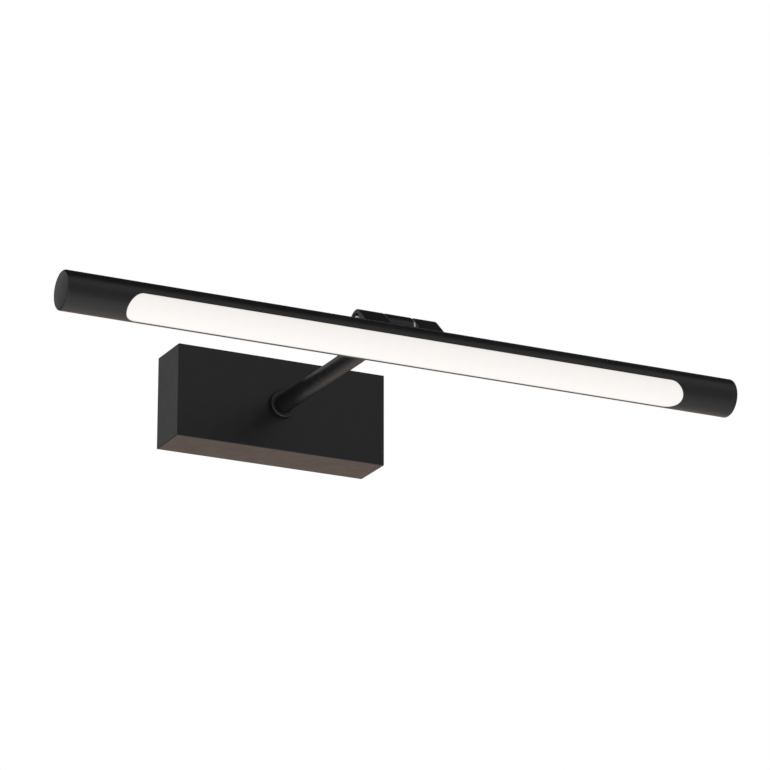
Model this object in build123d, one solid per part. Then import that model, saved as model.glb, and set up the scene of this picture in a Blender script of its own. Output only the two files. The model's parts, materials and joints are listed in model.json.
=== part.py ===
from build123d import *
import math
import os

# Picture light: a slim lamp tube tilts on a friction hinge at the end of a straight arm,
# and the arm stands square out of a flat wall box that hides the driver and the wiring.
# Millimetres, +Z up. The origin is the middle of the wall face: +Y runs into the wall,
# -Y into the room, and +X runs to the right along the lamp tube.
# Every piece is modelled at rest, with the window facing forward and down.

# ---------------------------------------------------------------- driving dimensions
BOX_L, BOX_H, BOX_D = 150.0, 63.4, 33.7     # wall box outside, along X, Z and Y
BOX_WALL = 1.5                              # sheet of the housing
PLATE_T = 1.5                               # sheet of the wall plate
PLATE_GAP = 0.3                             # plate to housing, all round
FIX_X, FIX_Z = 60.0, 16.0                   # wall screw slots, either side of the middle
FIX_SLOT_L, FIX_SLOT_W = 10.0, 4.6
ENTRY_X, ENTRY_Z = -24.0, 0.0               # cable entry in the plate
ENTRY_HOLE_R, ENTRY_BORE_R = 7.0, 4.5
COVER_SCREW_X = 50.0                        # cover screws, through the top of the housing

ARM_R, ARM_BORE_R = 6.2, 4.7                # arm tube
SPIGOT_R, SPIGOT_L = 5.0, 12.0              # threaded end of the arm, inside the box
COLLAR_R, COLLAR_H = 9.5, 4.0               # ring on the box round the arm

HINGE_Y, HINGE_Z = -200.6, 0.0              # hinge axis, parallel to X
BARREL_R = 8.5                              # knuckle and ears
EAR_LEFT = (-27.2, -9.7)                    # X ranges of the three hinge leaves
KNUCKLE = (-8.3, 9.7)
EAR_RIGHT = (11.5, 27.2)
BOLT_R = 2.5                                # hinge bolt shank
BOLT_RUN = 0.06                             # running clearance round the shank
BOLT_HEAD_R, BOLT_HEAD_T = 5.0, 2.0         # low round head, in a counterbore of the left ear
HEAD_POCKET_R, HEAD_POCKET_D = 5.8, 2.2
SOCKET_R, SOCKET_L = 7.3, 20.0              # socket that the arm plugs into
ARM_IN = 10.0                               # how far the arm goes into the socket

HEAD_ANGLE = 43.5                           # window direction, below straight forward
HINGE_TO_TUBE = 25.2                        # hinge axis to tube axis
TUBE_R, TUBE_WALL, TUBE_L = 12.5, 1.3, 454.6
CAP_T, CAP_CROWN, CAP_EDGE = 4.1, 0.7, 1.5  # end cap disc, its domed face and its rounded edge
WINDOW_W, WINDOW_L = 19.3, 383.0            # slot in the tube, with round ends
DIFFUSER_SINK = 0.5                         # diffuser face below the tube's surface
BOARD_L, BOARD_W, BOARD_T = 384.0, 12.0, 1.0
CHIP_COUNT, CHIP_PITCH = 36, 10.4

CORE_R = 1.1                                # single insulated mains core
LEAD_R = 1.3                                # low-voltage lamp lead

# ---------------------------------------------------------------- places inside the box, X and Z
DRIVER = (17.0, 72.0, -24.0, 2.0)           # driver case, low and high X, low and high Z
DRIVER_D = 22.0                             # driver depth from the plate
DRIVER_SCREWS = [(21.0, -2.2), (68.0, -20.0)]
BOARD_Y = -PLATE_T - 7.6                    # front of the driver's board
LAMP_EXIT_Y, LAMP_EXIT_Z = -12.0, -6.0      # lamp lead out of the driver
TERMINAL = (-66.0, -42.0, -21.5, -2.5)      # terminal block, low and high X, low and high Z
TERMINAL_D = 13.0
TERMINAL_MID = (TERMINAL[0] + TERMINAL[1]) / 2
TERMINAL_POLES = (-18.2, -14.4, -5.6)       # live, neutral and earth
TERMINAL_SCREWS = [(-63.5, -10.0), (-44.5, -10.0)]
CORE_Y = -8.0                               # mains cores run in this plane
EARTH_X, EARTH_Z = -32.0, 18.0              # earth screw

# ---------------------------------------------------------------- shared places
TUBE_IN_R = TUBE_R - TUBE_WALL
BOX_FRONT = -BOX_D
ARM_TIP = HINGE_Y + SOCKET_L - ARM_IN       # end of the arm inside its socket
ARM_LEAD_Z = -2.0                           # lamp lead, low in the arm's bore
PASSAGE_Z = -5.1                            # its passage through the knuckle, under the bolt
GRUB_AT = 15.0                              # grub screw, from the hinge axis along the arm
EAR_SCREW_X = (-15.5, 17.5)                 # one screw up into each ear
TRAY_Z = 4.4                                # back of the LED tray, behind the tube's axis
BOARD_TOP = TRAY_Z - 1.8                    # board against the tray's front
CHIP_FACE = BOARD_TOP - BOARD_T
BOARD_SCREW_X = [n * CHIP_PITCH for n in (-18, -6, 6, 18)]
CONNECTOR_X = 45.0
HEAD_LEAD_Z = 6.3                           # lamp lead behind the tray
WASHER_GAP = 0.04                           # washer to knuckle, on each side

os.makedirs("parts", exist_ok=True)


def block(x0, x1, y0, y1, z0, z1):
    """Box between two corners."""
    size = (x1 - x0, y1 - y0, z1 - z0)
    middle = ((x0 + x1) / 2, (y0 + y1) / 2, (z0 + z1) / 2)
    return Pos(*middle) * Box(*size)


def rod_x(r, x0, x1, y=0.0, z=0.0):
    """Cylinder along X."""
    return Pos((x0 + x1) / 2, y, z) * Rot(0, 90, 0) * Cylinder(r, x1 - x0)


def rod_y(r, y0, y1, x=0.0, z=0.0):
    """Cylinder along Y."""
    return Pos(x, (y0 + y1) / 2, z) * Rot(90, 0, 0) * Cylinder(r, y1 - y0)


def rod_z(r, z0, z1, x=0.0, y=0.0):
    """Cylinder along Z."""
    return Pos(x, y, (z0 + z1) / 2) * Cylinder(r, z1 - z0)


def hex_x(across, x0, x1, y=0.0, z=0.0):
    """Hexagonal bar along X, measured across its flats."""
    corner_r = across / math.sqrt(3)
    bar = extrude(RegularPolygon(corner_r, 6), amount=x1 - x0)
    return Pos(x0, y, z) * Rot(0, 90, 0) * bar


def hex_y(across, y0, y1):
    """Hexagonal bar along Y on the arm's axis, measured across its flats."""
    corner_r = across / math.sqrt(3)
    bar = extrude(RegularPolygon(corner_r, 6), amount=y1 - y0)
    return Pos(0, y1, 0) * Rot(90, 0, 0) * bar


def slot_y(length, width, y0, y1, x, z):
    """Bar along Y with a round-ended slot section, long along X."""
    bar = extrude(SlotOverall(length, width), amount=y1 - y0)
    return Pos(x, y1, z) * Rot(90, 0, 0) * bar


def lead(points, radius, bend):
    """Round wire through the points, with the same bend at each corner."""
    path = FilletPolyline(*points, radius=bend)
    start = Plane(origin=path @ 0, z_dir=path % 0)
    return sweep(start * Circle(radius), path=path)


def in_head(piece):
    """Carry a piece from the head's own frame to its place at rest.

    In that frame the tube axis is X, +Z points from the tube to the hinge axis
    and -Z is the way the window faces.
    """
    return Pos(0, HINGE_Y, HINGE_Z) * Rot(-(90 - HEAD_ANGLE), 0, 0) * Pos(0, 0, -HINGE_TO_TUBE) * piece


# ---------------------------------------------------------------- wall box
def wall_plate():
    """Plate screwed to the wall, with a folded tongue for each cover screw and two hook slots."""
    half_x = BOX_L / 2 - BOX_WALL - PLATE_GAP
    half_z = BOX_H / 2 - BOX_WALL - PLATE_GAP
    plate = block(-half_x, half_x, -PLATE_T, 0, -half_z, half_z)
    plate = fillet(plate.edges().filter_by(Axis.Y), 2.0)
    tongue_l, tongue_w, tongue_t = 12.0, 16.0, 2.0
    for x in (-COVER_SCREW_X, COVER_SCREW_X):
        x0, x1 = x - tongue_w / 2, x + tongue_w / 2
        plate += block(x0, x1, -tongue_l, -PLATE_T / 2, half_z - tongue_t, half_z)
        plate += block(x0, x1, -tongue_l, -PLATE_T / 2, -half_z, -half_z + tongue_t)
        plate -= rod_z(1.25, half_z - tongue_t - 1, half_z + 1, x, -8.0)
        plate -= block(x - 4.4, x + 4.4, -10.2, -6.0, -half_z - 1, -half_z + tongue_t + 1)
    for x in (-FIX_X, FIX_X):
        plate -= slot_y(FIX_SLOT_L, FIX_SLOT_W, -PLATE_T - 1, 1, x, FIX_Z)
    plate -= rod_y(ENTRY_HOLE_R, -PLATE_T - 1, 1, ENTRY_X, ENTRY_Z)
    plate -= rod_y(1.6, -PLATE_T - 1, 1, EARTH_X, EARTH_Z)
    for x, z in TERMINAL_SCREWS + DRIVER_SCREWS:
        plate -= rod_y(1.25, -PLATE_T - 1, 1, x, z)
    return plate


def housing():
    """Folded sheet cover: front and four sides, open at the wall, with two hooks at the bottom."""
    outer = block(-BOX_L / 2, BOX_L / 2, BOX_FRONT, 0, -BOX_H / 2, BOX_H / 2)
    outer = fillet(outer.edges().filter_by(Axis.Y) + outer.edges().group_by(Axis.Y)[0], 0.6)
    inner = block(-BOX_L / 2 + BOX_WALL, BOX_L / 2 - BOX_WALL, BOX_FRONT + BOX_WALL, 1,
                  -BOX_H / 2 + BOX_WALL, BOX_H / 2 - BOX_WALL)
    cover = outer - inner
    floor_z = -BOX_H / 2 + BOX_WALL
    for x in (-COVER_SCREW_X, COVER_SCREW_X):
        cover += block(x - 4.0, x + 4.0, -9.4, -7.9, floor_z - 0.5, floor_z + 4.5)
        cover -= rod_z(1.6, BOX_H / 2 - BOX_WALL - 1, BOX_H / 2 + 1, x, -8.0)
        cover -= Pos(x, -8.0, BOX_H / 2 - 0.7) * Cone(1.6, 3.05, 1.4)
    cover -= rod_y(SPIGOT_R + 0.1, BOX_FRONT - 1, BOX_FRONT + BOX_WALL + 1)
    return cover


def housing_screws():
    """Two countersunk screws, flush with the top of the housing."""
    screws = []
    for x in (-COVER_SCREW_X, COVER_SCREW_X):
        top = BOX_H / 2 - 0.02
        head = Pos(x, -8.0, top - 0.7) * Cone(1.5, 2.9, 1.4)
        shank = rod_z(1.25, top - 8.0, top - 1.0, x, -8.0)
        drive = rod_z(1.1, top - 0.8, top + 1, x, -8.0)
        screws.append(head + shank - drive)
    return Compound(screws)


def cable_bush():
    """Bush in the plate's cable entry: a flange inside the box and a sleeve through the plate."""
    bush = rod_y(ENTRY_HOLE_R, -PLATE_T - 1.6, -0.2, ENTRY_X, ENTRY_Z)
    bush += rod_y(ENTRY_HOLE_R + 2.2, -PLATE_T - 1.8, -PLATE_T, ENTRY_X, ENTRY_Z)
    bush -= rod_y(ENTRY_BORE_R, -PLATE_T - 3, 1, ENTRY_X, ENTRY_Z)
    return bush


# ---------------------------------------------------------------- inside the box
def driver_case():
    """Open tray of the LED driver, with bosses for its two fixing screws."""
    x0, x1, z0, z1 = DRIVER
    back = -PLATE_T
    case = block(x0, x1, back - DRIVER_D + 2.0, back, z0, z1)
    case = fillet(case.edges().filter_by(Axis.Y), 2.5)
    case -= block(x0 + 1.5, x1 - 1.5, back - DRIVER_D, back - 1.5, z0 + 1.5, z1 - 1.5)
    for x, z in DRIVER_SCREWS:
        case += rod_y(3.2, back - 6.0, back - 0.5, x, z)
        case -= rod_y(1.4, back - 7.0, back + 1, x, z)
    for z in TERMINAL_POLES[:2]:
        case -= rod_x(CORE_R, x0 - 1, x0 + 3, CORE_Y, z)
    return case - rod_x(LEAD_R, x0 - 1, x0 + 3, LAMP_EXIT_Y, LAMP_EXIT_Z)


def driver_lid():
    """Snap lid of the driver, with a rim inside the case."""
    x0, x1, z0, z1 = DRIVER
    front = -PLATE_T - DRIVER_D
    lid = block(x0, x1, front, front + 2.0, z0, z1)
    lid = fillet(lid.edges().filter_by(Axis.Y), 2.5)
    rim = block(x0 + 1.6, x1 - 1.6, front + 1.0, front + 4.0, z0 + 1.6, z1 - 1.6)
    return lid + rim - block(x0 + 2.6, x1 - 2.6, front + 1.5, front + 5.0, z0 + 2.6, z1 - 2.6)


def driver_board():
    """Circuit board of the driver, notched round the screw bosses."""
    x0, x1, z0, z1 = DRIVER
    board = block(x0 + 2.0, x1 - 2.0, BOARD_Y, BOARD_Y + 1.6, z0 + 2.0, z1 - 2.0)
    for x, z in DRIVER_SCREWS:
        board -= rod_y(3.4, BOARD_Y - 1, BOARD_Y + 3, x, z)
    return board


def driver_parts():
    """Transformer, two capacitors and a heat-sink tab, standing on the driver's board."""
    x0, _, z0, _ = DRIVER
    y = BOARD_Y
    core = block(x0 + 20, x0 + 36, y - 10.5, y, z0 + 5, z0 + 20)
    core -= block(x0 + 20, x0 + 23, y - 11, y - 3, z0 + 8, z0 + 17)
    tall = rod_y(4.5, y - 10.5, y, x0 + 13, z0 + 18)
    small = rod_y(3.2, y - 8.0, y, x0 + 43, z0 + 8)
    tab = block(x0 + 40, x0 + 50, y - 9.0, y, z0 + 17, z0 + 18.5)
    return Compound([core, tall, small, tab])


def fixing_screws(places, head_y, head_r, tip_y):
    """Pan-head screws along Y, as a group of separate solids."""
    screws = []
    for x, z in places:
        head = rod_y(head_r, head_y - 1.6, head_y, x, z)
        head = fillet(head.edges().group_by(Axis.Y)[0], 0.5)
        screw = head + rod_y(1.25, head_y - 0.2, tip_y, x, z)
        screws.append(screw - block(x - head_r, x + head_r, head_y - 2.0, head_y - 0.9, z - 0.35, z + 0.35))
    return Compound(screws)


def terminal_block():
    """Three-pole terminal block: a bar with three wire ways along X and three screw wells."""
    x0, x1, z0, z1 = TERMINAL
    body = block(x0, x1, -PLATE_T - TERMINAL_D, -PLATE_T, z0, z1)
    body = chamfer(body.edges().filter_by(Axis.X).group_by(Axis.Y)[0], 1.5)
    for z in TERMINAL_POLES:
        body -= rod_x(CORE_R, TERMINAL_MID - 2, x1 + 1, CORE_Y, z)
        body -= rod_x(CORE_R + 0.4, x0 - 1, TERMINAL_MID - 2, CORE_Y, z)
        body -= rod_y(1.5, -PLATE_T - TERMINAL_D - 1, CORE_Y, TERMINAL_MID, z)
    for x, z in TERMINAL_SCREWS:
        body -= rod_y(2.2, -PLATE_T - TERMINAL_D - 1, -PLATE_T - 3.0, x, z)
        body -= rod_y(1.25, -PLATE_T - 4, 0, x, z)
    return body


def terminal_screws():
    """Clamping screws of the three poles."""
    x = TERMINAL_MID
    screws = []
    for z in TERMINAL_POLES:
        screw = rod_y(1.45, -PLATE_T - TERMINAL_D + 1.5, CORE_Y - CORE_R, x, z)
        screws.append(screw - block(x - 2, x + 2, -PLATE_T - TERMINAL_D, -PLATE_T - TERMINAL_D + 2.2,
                                    z - 0.3, z + 0.3))
    return Compound(screws)


def mains_core(z):
    """One mains core, from its pole of the block to the driver, with a little slack."""
    x0, x1 = TERMINAL_MID - 1.0, DRIVER[0] + 2.0
    sag = 3.0
    route = [(x0, CORE_Y, z), (-36, CORE_Y, z), (-24, CORE_Y, z - sag),
             (-8, CORE_Y, z - sag), (6, CORE_Y, z), (x1, CORE_Y, z)]
    return lead(route, CORE_R, 14.0)


def earth_core():
    """Earth core, from its pole of the block up to the tag on the plate."""
    z = TERMINAL_POLES[2]
    route = [(TERMINAL_MID - 1.0, CORE_Y, z), (EARTH_X, CORE_Y, z), (EARTH_X, CORE_Y, EARTH_Z - 6.4)]
    return lead(route, CORE_R, 7.0)


def earth_tag():
    """Ring tag under the earth screw, with its crimp barrel held forward on a riser."""
    y = -PLATE_T
    tag = rod_y(3.6, y - 0.8, y, EARTH_X, EARTH_Z)
    tag += block(EARTH_X - 2.0, EARTH_X + 2.0, y - 0.8, y, EARTH_Z - 7.4, EARTH_Z)
    tag += block(EARTH_X - 2.0, EARTH_X + 2.0, CORE_Y, y, EARTH_Z - 7.4, EARTH_Z - 6.6)
    tag += rod_z(CORE_R + 0.7, EARTH_Z - 9.4, EARTH_Z - 5.6, EARTH_X, CORE_Y)
    tag -= rod_z(CORE_R, EARTH_Z - 10.4, EARTH_Z - 6.4, EARTH_X, CORE_Y)
    return tag - rod_y(1.6, y - 2, y + 1, EARTH_X, EARTH_Z)


# ---------------------------------------------------------------- arm
def arm_collar():
    """Turned ring on the face of the box, round the arm, with a rounded rim."""
    ring = rod_y(COLLAR_R, BOX_FRONT - COLLAR_H, BOX_FRONT)
    ring = fillet(ring.edges().group_by(Axis.Y)[0], 1.2)
    return ring - rod_y(ARM_R, BOX_FRONT - COLLAR_H - 1, BOX_FRONT + 1)


def arm_tube():
    """Arm from the box to the hinge socket, stepped down to a threaded spigot at the box."""
    arm = rod_y(ARM_R, ARM_TIP, BOX_FRONT)
    arm += rod_y(SPIGOT_R, BOX_FRONT - 1, BOX_FRONT + SPIGOT_L)
    arm -= rod_y(SPIGOT_R - 1.4, BOX_FRONT - 30, 0)
    arm -= rod_y(ARM_BORE_R, ARM_TIP - 1, BOX_FRONT - 10)
    return arm - rod_z(1.25, -ARM_R - 1, -ARM_R + 0.9, 0, HINGE_Y + GRUB_AT)


def arm_lock_washer():
    """Toothed washer between the housing and the nut."""
    washer = rod_y(8.0, BOX_FRONT + BOX_WALL, BOX_FRONT + BOX_WALL + 1.0)
    washer -= rod_y(SPIGOT_R, BOX_FRONT, BOX_FRONT + 5)
    for i in range(8):
        notch = Pos(8.2, BOX_FRONT + BOX_WALL + 0.5, 0) * Box(1.6, 2.0, 1.4)
        washer -= Rot(0, 45 * i, 0) * notch
    return washer


def arm_lock_nut():
    """Hexagonal nut on the spigot."""
    y0 = BOX_FRONT + BOX_WALL + 1.0
    nut = hex_y(14.0, y0, y0 + 5.0) & fillet(rod_y(7.9, y0, y0 + 5.0).edges(), 0.8)
    return nut - rod_y(SPIGOT_R, y0 - 1, y0 + 6)


def arm_lead():
    """Lamp lead, from the driver along the arm and out at the front of the knuckle."""
    route = [(DRIVER[0] + 2.0, LAMP_EXIT_Y, LAMP_EXIT_Z), (9.0, LAMP_EXIT_Y, LAMP_EXIT_Z),
             (0, LAMP_EXIT_Y, ARM_LEAD_Z), (0, HINGE_Y + 10.5, ARM_LEAD_Z),
             (0, HINGE_Y + 5.0, PASSAGE_Z), (0, HINGE_Y - 7.0, PASSAGE_Z)]
    return lead(route, LEAD_R, 5.0)


def arm_knuckle():
    """Middle leaf of the hinge: a barrel on the bolt, with the socket for the arm behind it."""
    x0, x1 = KNUCKLE
    barrel = rod_x(BARREL_R, x0, x1, HINGE_Y, HINGE_Z)
    barrel = chamfer(barrel.edges(), 0.4)
    body = barrel + rod_y(SOCKET_R, HINGE_Y + 1, HINGE_Y + SOCKET_L)
    body = fillet(body.edges().group_by(Axis.Y)[-1], 0.8)
    body -= rod_x(BOLT_R + BOLT_RUN, x0 - 1, x1 + 1, HINGE_Y, HINGE_Z)
    body -= rod_y(ARM_R, ARM_TIP, HINGE_Y + SOCKET_L + 1)
    body -= rod_y(ARM_BORE_R, HINGE_Y + 5.0, ARM_TIP + 1)
    body -= rod_y(LEAD_R + 0.3, HINGE_Y - BARREL_R, ARM_TIP - 0.5, 0, PASSAGE_Z)
    return body - rod_z(1.25, -SOCKET_R - 1, -ARM_R + 1, 0, HINGE_Y + GRUB_AT)


def arm_grub_screw():
    """Grub screw that locks the arm in its socket, from below."""
    y = HINGE_Y + GRUB_AT
    screw = rod_z(1.25, -SOCKET_R + 0.2, -ARM_R + 0.9, 0, y)
    return screw - Pos(0, y, -SOCKET_R) * extrude(RegularPolygon(0.75, 6), amount=1.2)


# ---------------------------------------------------------------- head, in its own frame
def ear_blank(x0, x1):
    """Ear of the hinge: round top, straight flanks down to a saddle on the tube."""
    top = Pos(0, HINGE_TO_TUBE) * Circle(BARREL_R)
    foot_half = BARREL_R + 0.35
    stem = make_face(Polyline((-BARREL_R, HINGE_TO_TUBE), (-foot_half, TUBE_R / 2),
                              (foot_half, TUBE_R / 2), (BARREL_R, HINGE_TO_TUBE), close=True))
    outline = top + stem
    ear = extrude(Plane.YZ * outline, amount=x1 - x0)
    ear = Pos(x0, 0, 0) * ear
    ends = ear.edges().group_by(Axis.X)
    ear = chamfer(ends[0] + ends[-1], 0.4)
    return ear - rod_x(TUBE_R, x0 - 1, x1 + 1)


def hinge_ear_left():
    """Left ear, counterbored for the bolt's head."""
    x0, x1 = EAR_LEFT
    ear = ear_blank(x0, x1)
    ear -= rod_x(HEAD_POCKET_R, x0 - 1, x0 + HEAD_POCKET_D, 0, HINGE_TO_TUBE)
    ear -= rod_x(BOLT_R, x0, x1 + 1, 0, HINGE_TO_TUBE)
    return ear - rod_z(1.5, 0, TUBE_R + 5.5, EAR_SCREW_X[0], 0)


def hinge_ear_right():
    """Right ear, with a pocket that holds the nut."""
    x0, x1 = EAR_RIGHT
    ear = ear_blank(x0, x1)
    ear -= hex_x(8.0, x1 - 5.4, x1 + 1, 0, HINGE_TO_TUBE)
    ear -= rod_x(BOLT_R, x0 - 1, x1, 0, HINGE_TO_TUBE)
    return ear - rod_z(1.5, 0, TUBE_R + 5.5, EAR_SCREW_X[1], 0)


def ear_screws():
    """Screws from inside the tube up into each ear."""
    screws = []
    for x in EAR_SCREW_X:
        head = rod_z(2.7, TUBE_IN_R - 2.4, TUBE_IN_R - 0.7, x) - rod_z(1.1, 0, TUBE_IN_R - 1.4, x)
        screws.append(head + rod_z(1.5, TUBE_IN_R - 0.9, TUBE_R + 5.5, x))
    return Compound(screws)


def hinge_bolt():
    """Button-head bolt through both ears, with a hexagonal socket in its head."""
    x0 = EAR_LEFT[0] + HEAD_POCKET_D
    head = rod_x(BOLT_HEAD_R, x0 - BOLT_HEAD_T, x0, 0, HINGE_TO_TUBE)
    head = fillet(head.edges().group_by(Axis.X)[0], 1.2)
    bolt = head + rod_x(BOLT_R, x0 - 0.5, EAR_RIGHT[1] - 0.4, 0, HINGE_TO_TUBE)
    return bolt - hex_x(3.0, x0 - 4.0, x0 - 0.6, 0, HINGE_TO_TUBE)


def hinge_nut():
    """Lock nut in the pocket of the right ear."""
    x1 = EAR_RIGHT[1] - 0.6
    nut = hex_x(8.0, x1 - 4.8, x1, 0, HINGE_TO_TUBE)
    return nut - rod_x(BOLT_R, x1 - 6, x1 + 1, 0, HINGE_TO_TUBE)


def hinge_washer(x0, x1):
    """Friction washer between an ear and the knuckle."""
    return rod_x(BARREL_R - 0.6, x0, x1, 0, HINGE_TO_TUBE) - rod_x(BOLT_R, x0 - 1, x1 + 1, 0, HINGE_TO_TUBE)


def window_bar(length, width, bottom, top):
    """Bar along Z with the window's round-ended outline."""
    return Pos(0, 0, bottom) * extrude(SlotOverall(length, width), amount=top - bottom)


def lamp_tube():
    """Drawn tube with the round-ended window in its front, screw holes and a lead hole behind."""
    half = TUBE_L / 2
    tube = rod_x(TUBE_R, -half, half) - rod_x(TUBE_IN_R, -half - 1, half + 1)
    tube -= window_bar(WINDOW_L, WINDOW_W, -TUBE_R - 1, 0)
    for x in EAR_SCREW_X:
        tube -= rod_z(1.5, 0, TUBE_R + 1, x)
    return tube - rod_z(2.6, 0, TUBE_R + 1, 0)


def end_cap(side):
    """End plug: a slightly domed disc with a rounded rim, and a short spigot inside the tube."""
    half = TUBE_L / 2
    dome_r = (TUBE_R ** 2 + CAP_CROWN ** 2) / (2 * CAP_CROWN)
    disc = rod_x(TUBE_R, half, half + CAP_T) & Pos(half + CAP_T - dome_r, 0, 0) * Sphere(dome_r)
    rims = [edge for edge in disc.edges().filter_by(GeomType.CIRCLE) if abs(edge.radius - TUBE_R) < 0.01]
    disc = fillet(ShapeList(rims).sort_by(Axis.X)[-1], CAP_EDGE)
    plug = rod_x(TUBE_IN_R, half - 8.0, half + 0.5) - rod_x(TUBE_IN_R - 1.6, half - 9.0, half - 0.5)
    cap = disc + plug
    return cap if side > 0 else mirror(cap, about=Plane.YZ)


def diffuser():
    """Opal cover: a curved strip inside the tube with a raised pad that fills the window."""
    reach = WINDOW_L / 2 + 6.0
    inner_r = TUBE_IN_R - 1.2
    strip = rod_x(TUBE_IN_R, -reach, reach) - rod_x(inner_r, -reach - 1, reach + 1)
    strip &= block(-reach, reach, -TUBE_R, TUBE_R, -TUBE_R, -4.6)
    pad = rod_x(TUBE_R - DIFFUSER_SINK, -reach, reach) - rod_x(inner_r, -reach - 1, reach + 1)
    pad &= window_bar(WINDOW_L - 0.1, WINDOW_W - 0.1, -TUBE_R, -4.6)
    return strip + pad


def led_tray():
    """Extruded aluminium tray: a flat web with a foot along each side, pressed into the tube."""
    half = BOARD_L / 2 + 12.0
    web_half = math.sqrt(TUBE_IN_R ** 2 - TRAY_Z ** 2)
    web = block(-half, half, -web_half, web_half, TRAY_Z - 1.8, TRAY_Z)
    feet = rod_x(TUBE_IN_R, -half, half) - block(-half - 1, half + 1, -8.6, 8.6, -20, 20)
    feet &= block(-half, half, -TUBE_R, TUBE_R, -3.0, TRAY_Z - 1.0)
    tray = (web & rod_x(TUBE_IN_R, -half, half)) + feet
    tray -= block(CONNECTOR_X - 4.2, CONNECTOR_X + 4.2, -3.2, 3.2, TRAY_Z - 3, TRAY_Z + 1)
    for x in BOARD_SCREW_X:
        tray -= rod_z(1.0, TRAY_Z - 3, TRAY_Z + 1, x)
    return tray


def led_board():
    """Metal-core board for the LEDs, on the front of the tray."""
    board = block(-BOARD_L / 2, BOARD_L / 2, -BOARD_W / 2, BOARD_W / 2, BOARD_TOP - BOARD_T, BOARD_TOP)
    for x in BOARD_SCREW_X:
        board -= rod_z(1.0, BOARD_TOP - 3, BOARD_TOP + 1, x)
    return board


def led_chips():
    """Row of LED packages down the middle of the board."""
    face = CHIP_FACE
    first = -(CHIP_COUNT - 1) / 2 * CHIP_PITCH
    chips = []
    for i in range(CHIP_COUNT):
        x = first + i * CHIP_PITCH
        chips.append(block(x - 1.75, x + 1.75, -1.4, 1.4, face - 0.7, face))
    return Compound(chips)


def board_screws():
    """Screws that hold the board to the tray."""
    screws = []
    for x in BOARD_SCREW_X:
        screws.append(rod_z(1.7, CHIP_FACE - 1.2, CHIP_FACE, x) + rod_z(1.0, CHIP_FACE - 0.5, TRAY_Z, x))
    return Compound(screws)


def board_connector():
    """Two-pole connector on the back of the board, in its gap in the tray."""
    body = block(CONNECTOR_X - 4.0, CONNECTOR_X + 4.0, -3.0, 3.0, BOARD_TOP, BOARD_TOP + 5.6)
    return body - rod_x(LEAD_R, CONNECTOR_X - 5, CONNECTOR_X - 1, 0, HEAD_LEAD_Z)


def tube_grommet():
    """Rubber grommet in the tube's lead hole, facing the knuckle."""
    neck = rod_z(2.6, TUBE_IN_R - 1.0, TUBE_R + 0.9)
    outer_lip = rod_z(3.8, TUBE_R - 0.8, TUBE_R + 0.9) - rod_x(TUBE_R, -5, 5)
    inner_lip = rod_z(3.6, TUBE_IN_R - 1.0, TUBE_IN_R) & rod_x(TUBE_IN_R, -5, 5)
    return neck + outer_lip + inner_lip - rod_z(LEAD_R, 0, TUBE_R + 3)


def head_lead():
    """Lamp lead inside the head, from the grommet to the board's connector."""
    route = [(0, 0, TUBE_R + 1.4), (0, 0, HEAD_LEAD_Z), (CONNECTOR_X - 1.0, 0, HEAD_LEAD_Z)]
    return lead(route, LEAD_R, 3.8)


# ---------------------------------------------------------------- write every node
FIXED_NODES = {
    "wall_plate": wall_plate(),
    "cable_bush": cable_bush(),
    "housing": housing(),
    "housing_screws": housing_screws(),
    "driver_case": driver_case(),
    "driver_lid": driver_lid(),
    "driver_board": driver_board(),
    "driver_parts": driver_parts(),
    "driver_screws": fixing_screws(DRIVER_SCREWS, -PLATE_T - 6.0, 2.4, 0),
    "terminal_block": terminal_block(),
    "terminal_screws": terminal_screws(),
    "terminal_fixing_screws": fixing_screws(TERMINAL_SCREWS, -PLATE_T - 3.0, 2.2, 0),
    "live_core": mains_core(TERMINAL_POLES[0]),
    "neutral_core": mains_core(TERMINAL_POLES[1]),
    "earth_core": earth_core(),
    "earth_tag": earth_tag(),
    "earth_screw": fixing_screws([(EARTH_X, EARTH_Z)], -PLATE_T - 0.8, 3.0, 0),
    "arm_collar": arm_collar(),
    "arm_tube": arm_tube(),
    "arm_lock_washer": arm_lock_washer(),
    "arm_lock_nut": arm_lock_nut(),
    "arm_lead": arm_lead(),
    "arm_knuckle": arm_knuckle(),
    "arm_grub_screw": arm_grub_screw(),
}
HEAD_NODES = {
    "hinge_ear_left": hinge_ear_left(),
    "hinge_ear_right": hinge_ear_right(),
    "ear_screws": ear_screws(),
    "hinge_bolt": hinge_bolt(),
    "hinge_nut": hinge_nut(),
    "hinge_washer_left": hinge_washer(EAR_LEFT[1], KNUCKLE[0] - WASHER_GAP),
    "hinge_washer_right": hinge_washer(KNUCKLE[1] + WASHER_GAP, EAR_RIGHT[0]),
    "lamp_tube": lamp_tube(),
    "end_cap_left": end_cap(-1),
    "end_cap_right": end_cap(1),
    "diffuser": diffuser(),
    "led_tray": led_tray(),
    "led_board": led_board(),
    "led_chips": led_chips(),
    "board_screws": board_screws(),
    "board_connector": board_connector(),
    "tube_grommet": tube_grommet(),
    "head_lead": head_lead(),
}

for name, piece in FIXED_NODES.items():
    export_step(piece, f"parts/{name}.step")
for name, piece in HEAD_NODES.items():
    export_step(in_head(piece), f"parts/{name}.step")
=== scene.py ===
# %% [markdown]
# # A picture light, built around its working frame
# The light is a slim black tube with a long opal window, on a hinge at the end of an arm that
# stands out of a flat wall box. The working parts arrive as a fixed frame. Here the pieces that
# an eye rests on are modelled again with finer edges, and every piece gets a real finish.

# %% Load the frame
import json
import math

import bpy
from mathutils import Matrix, Vector


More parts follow.
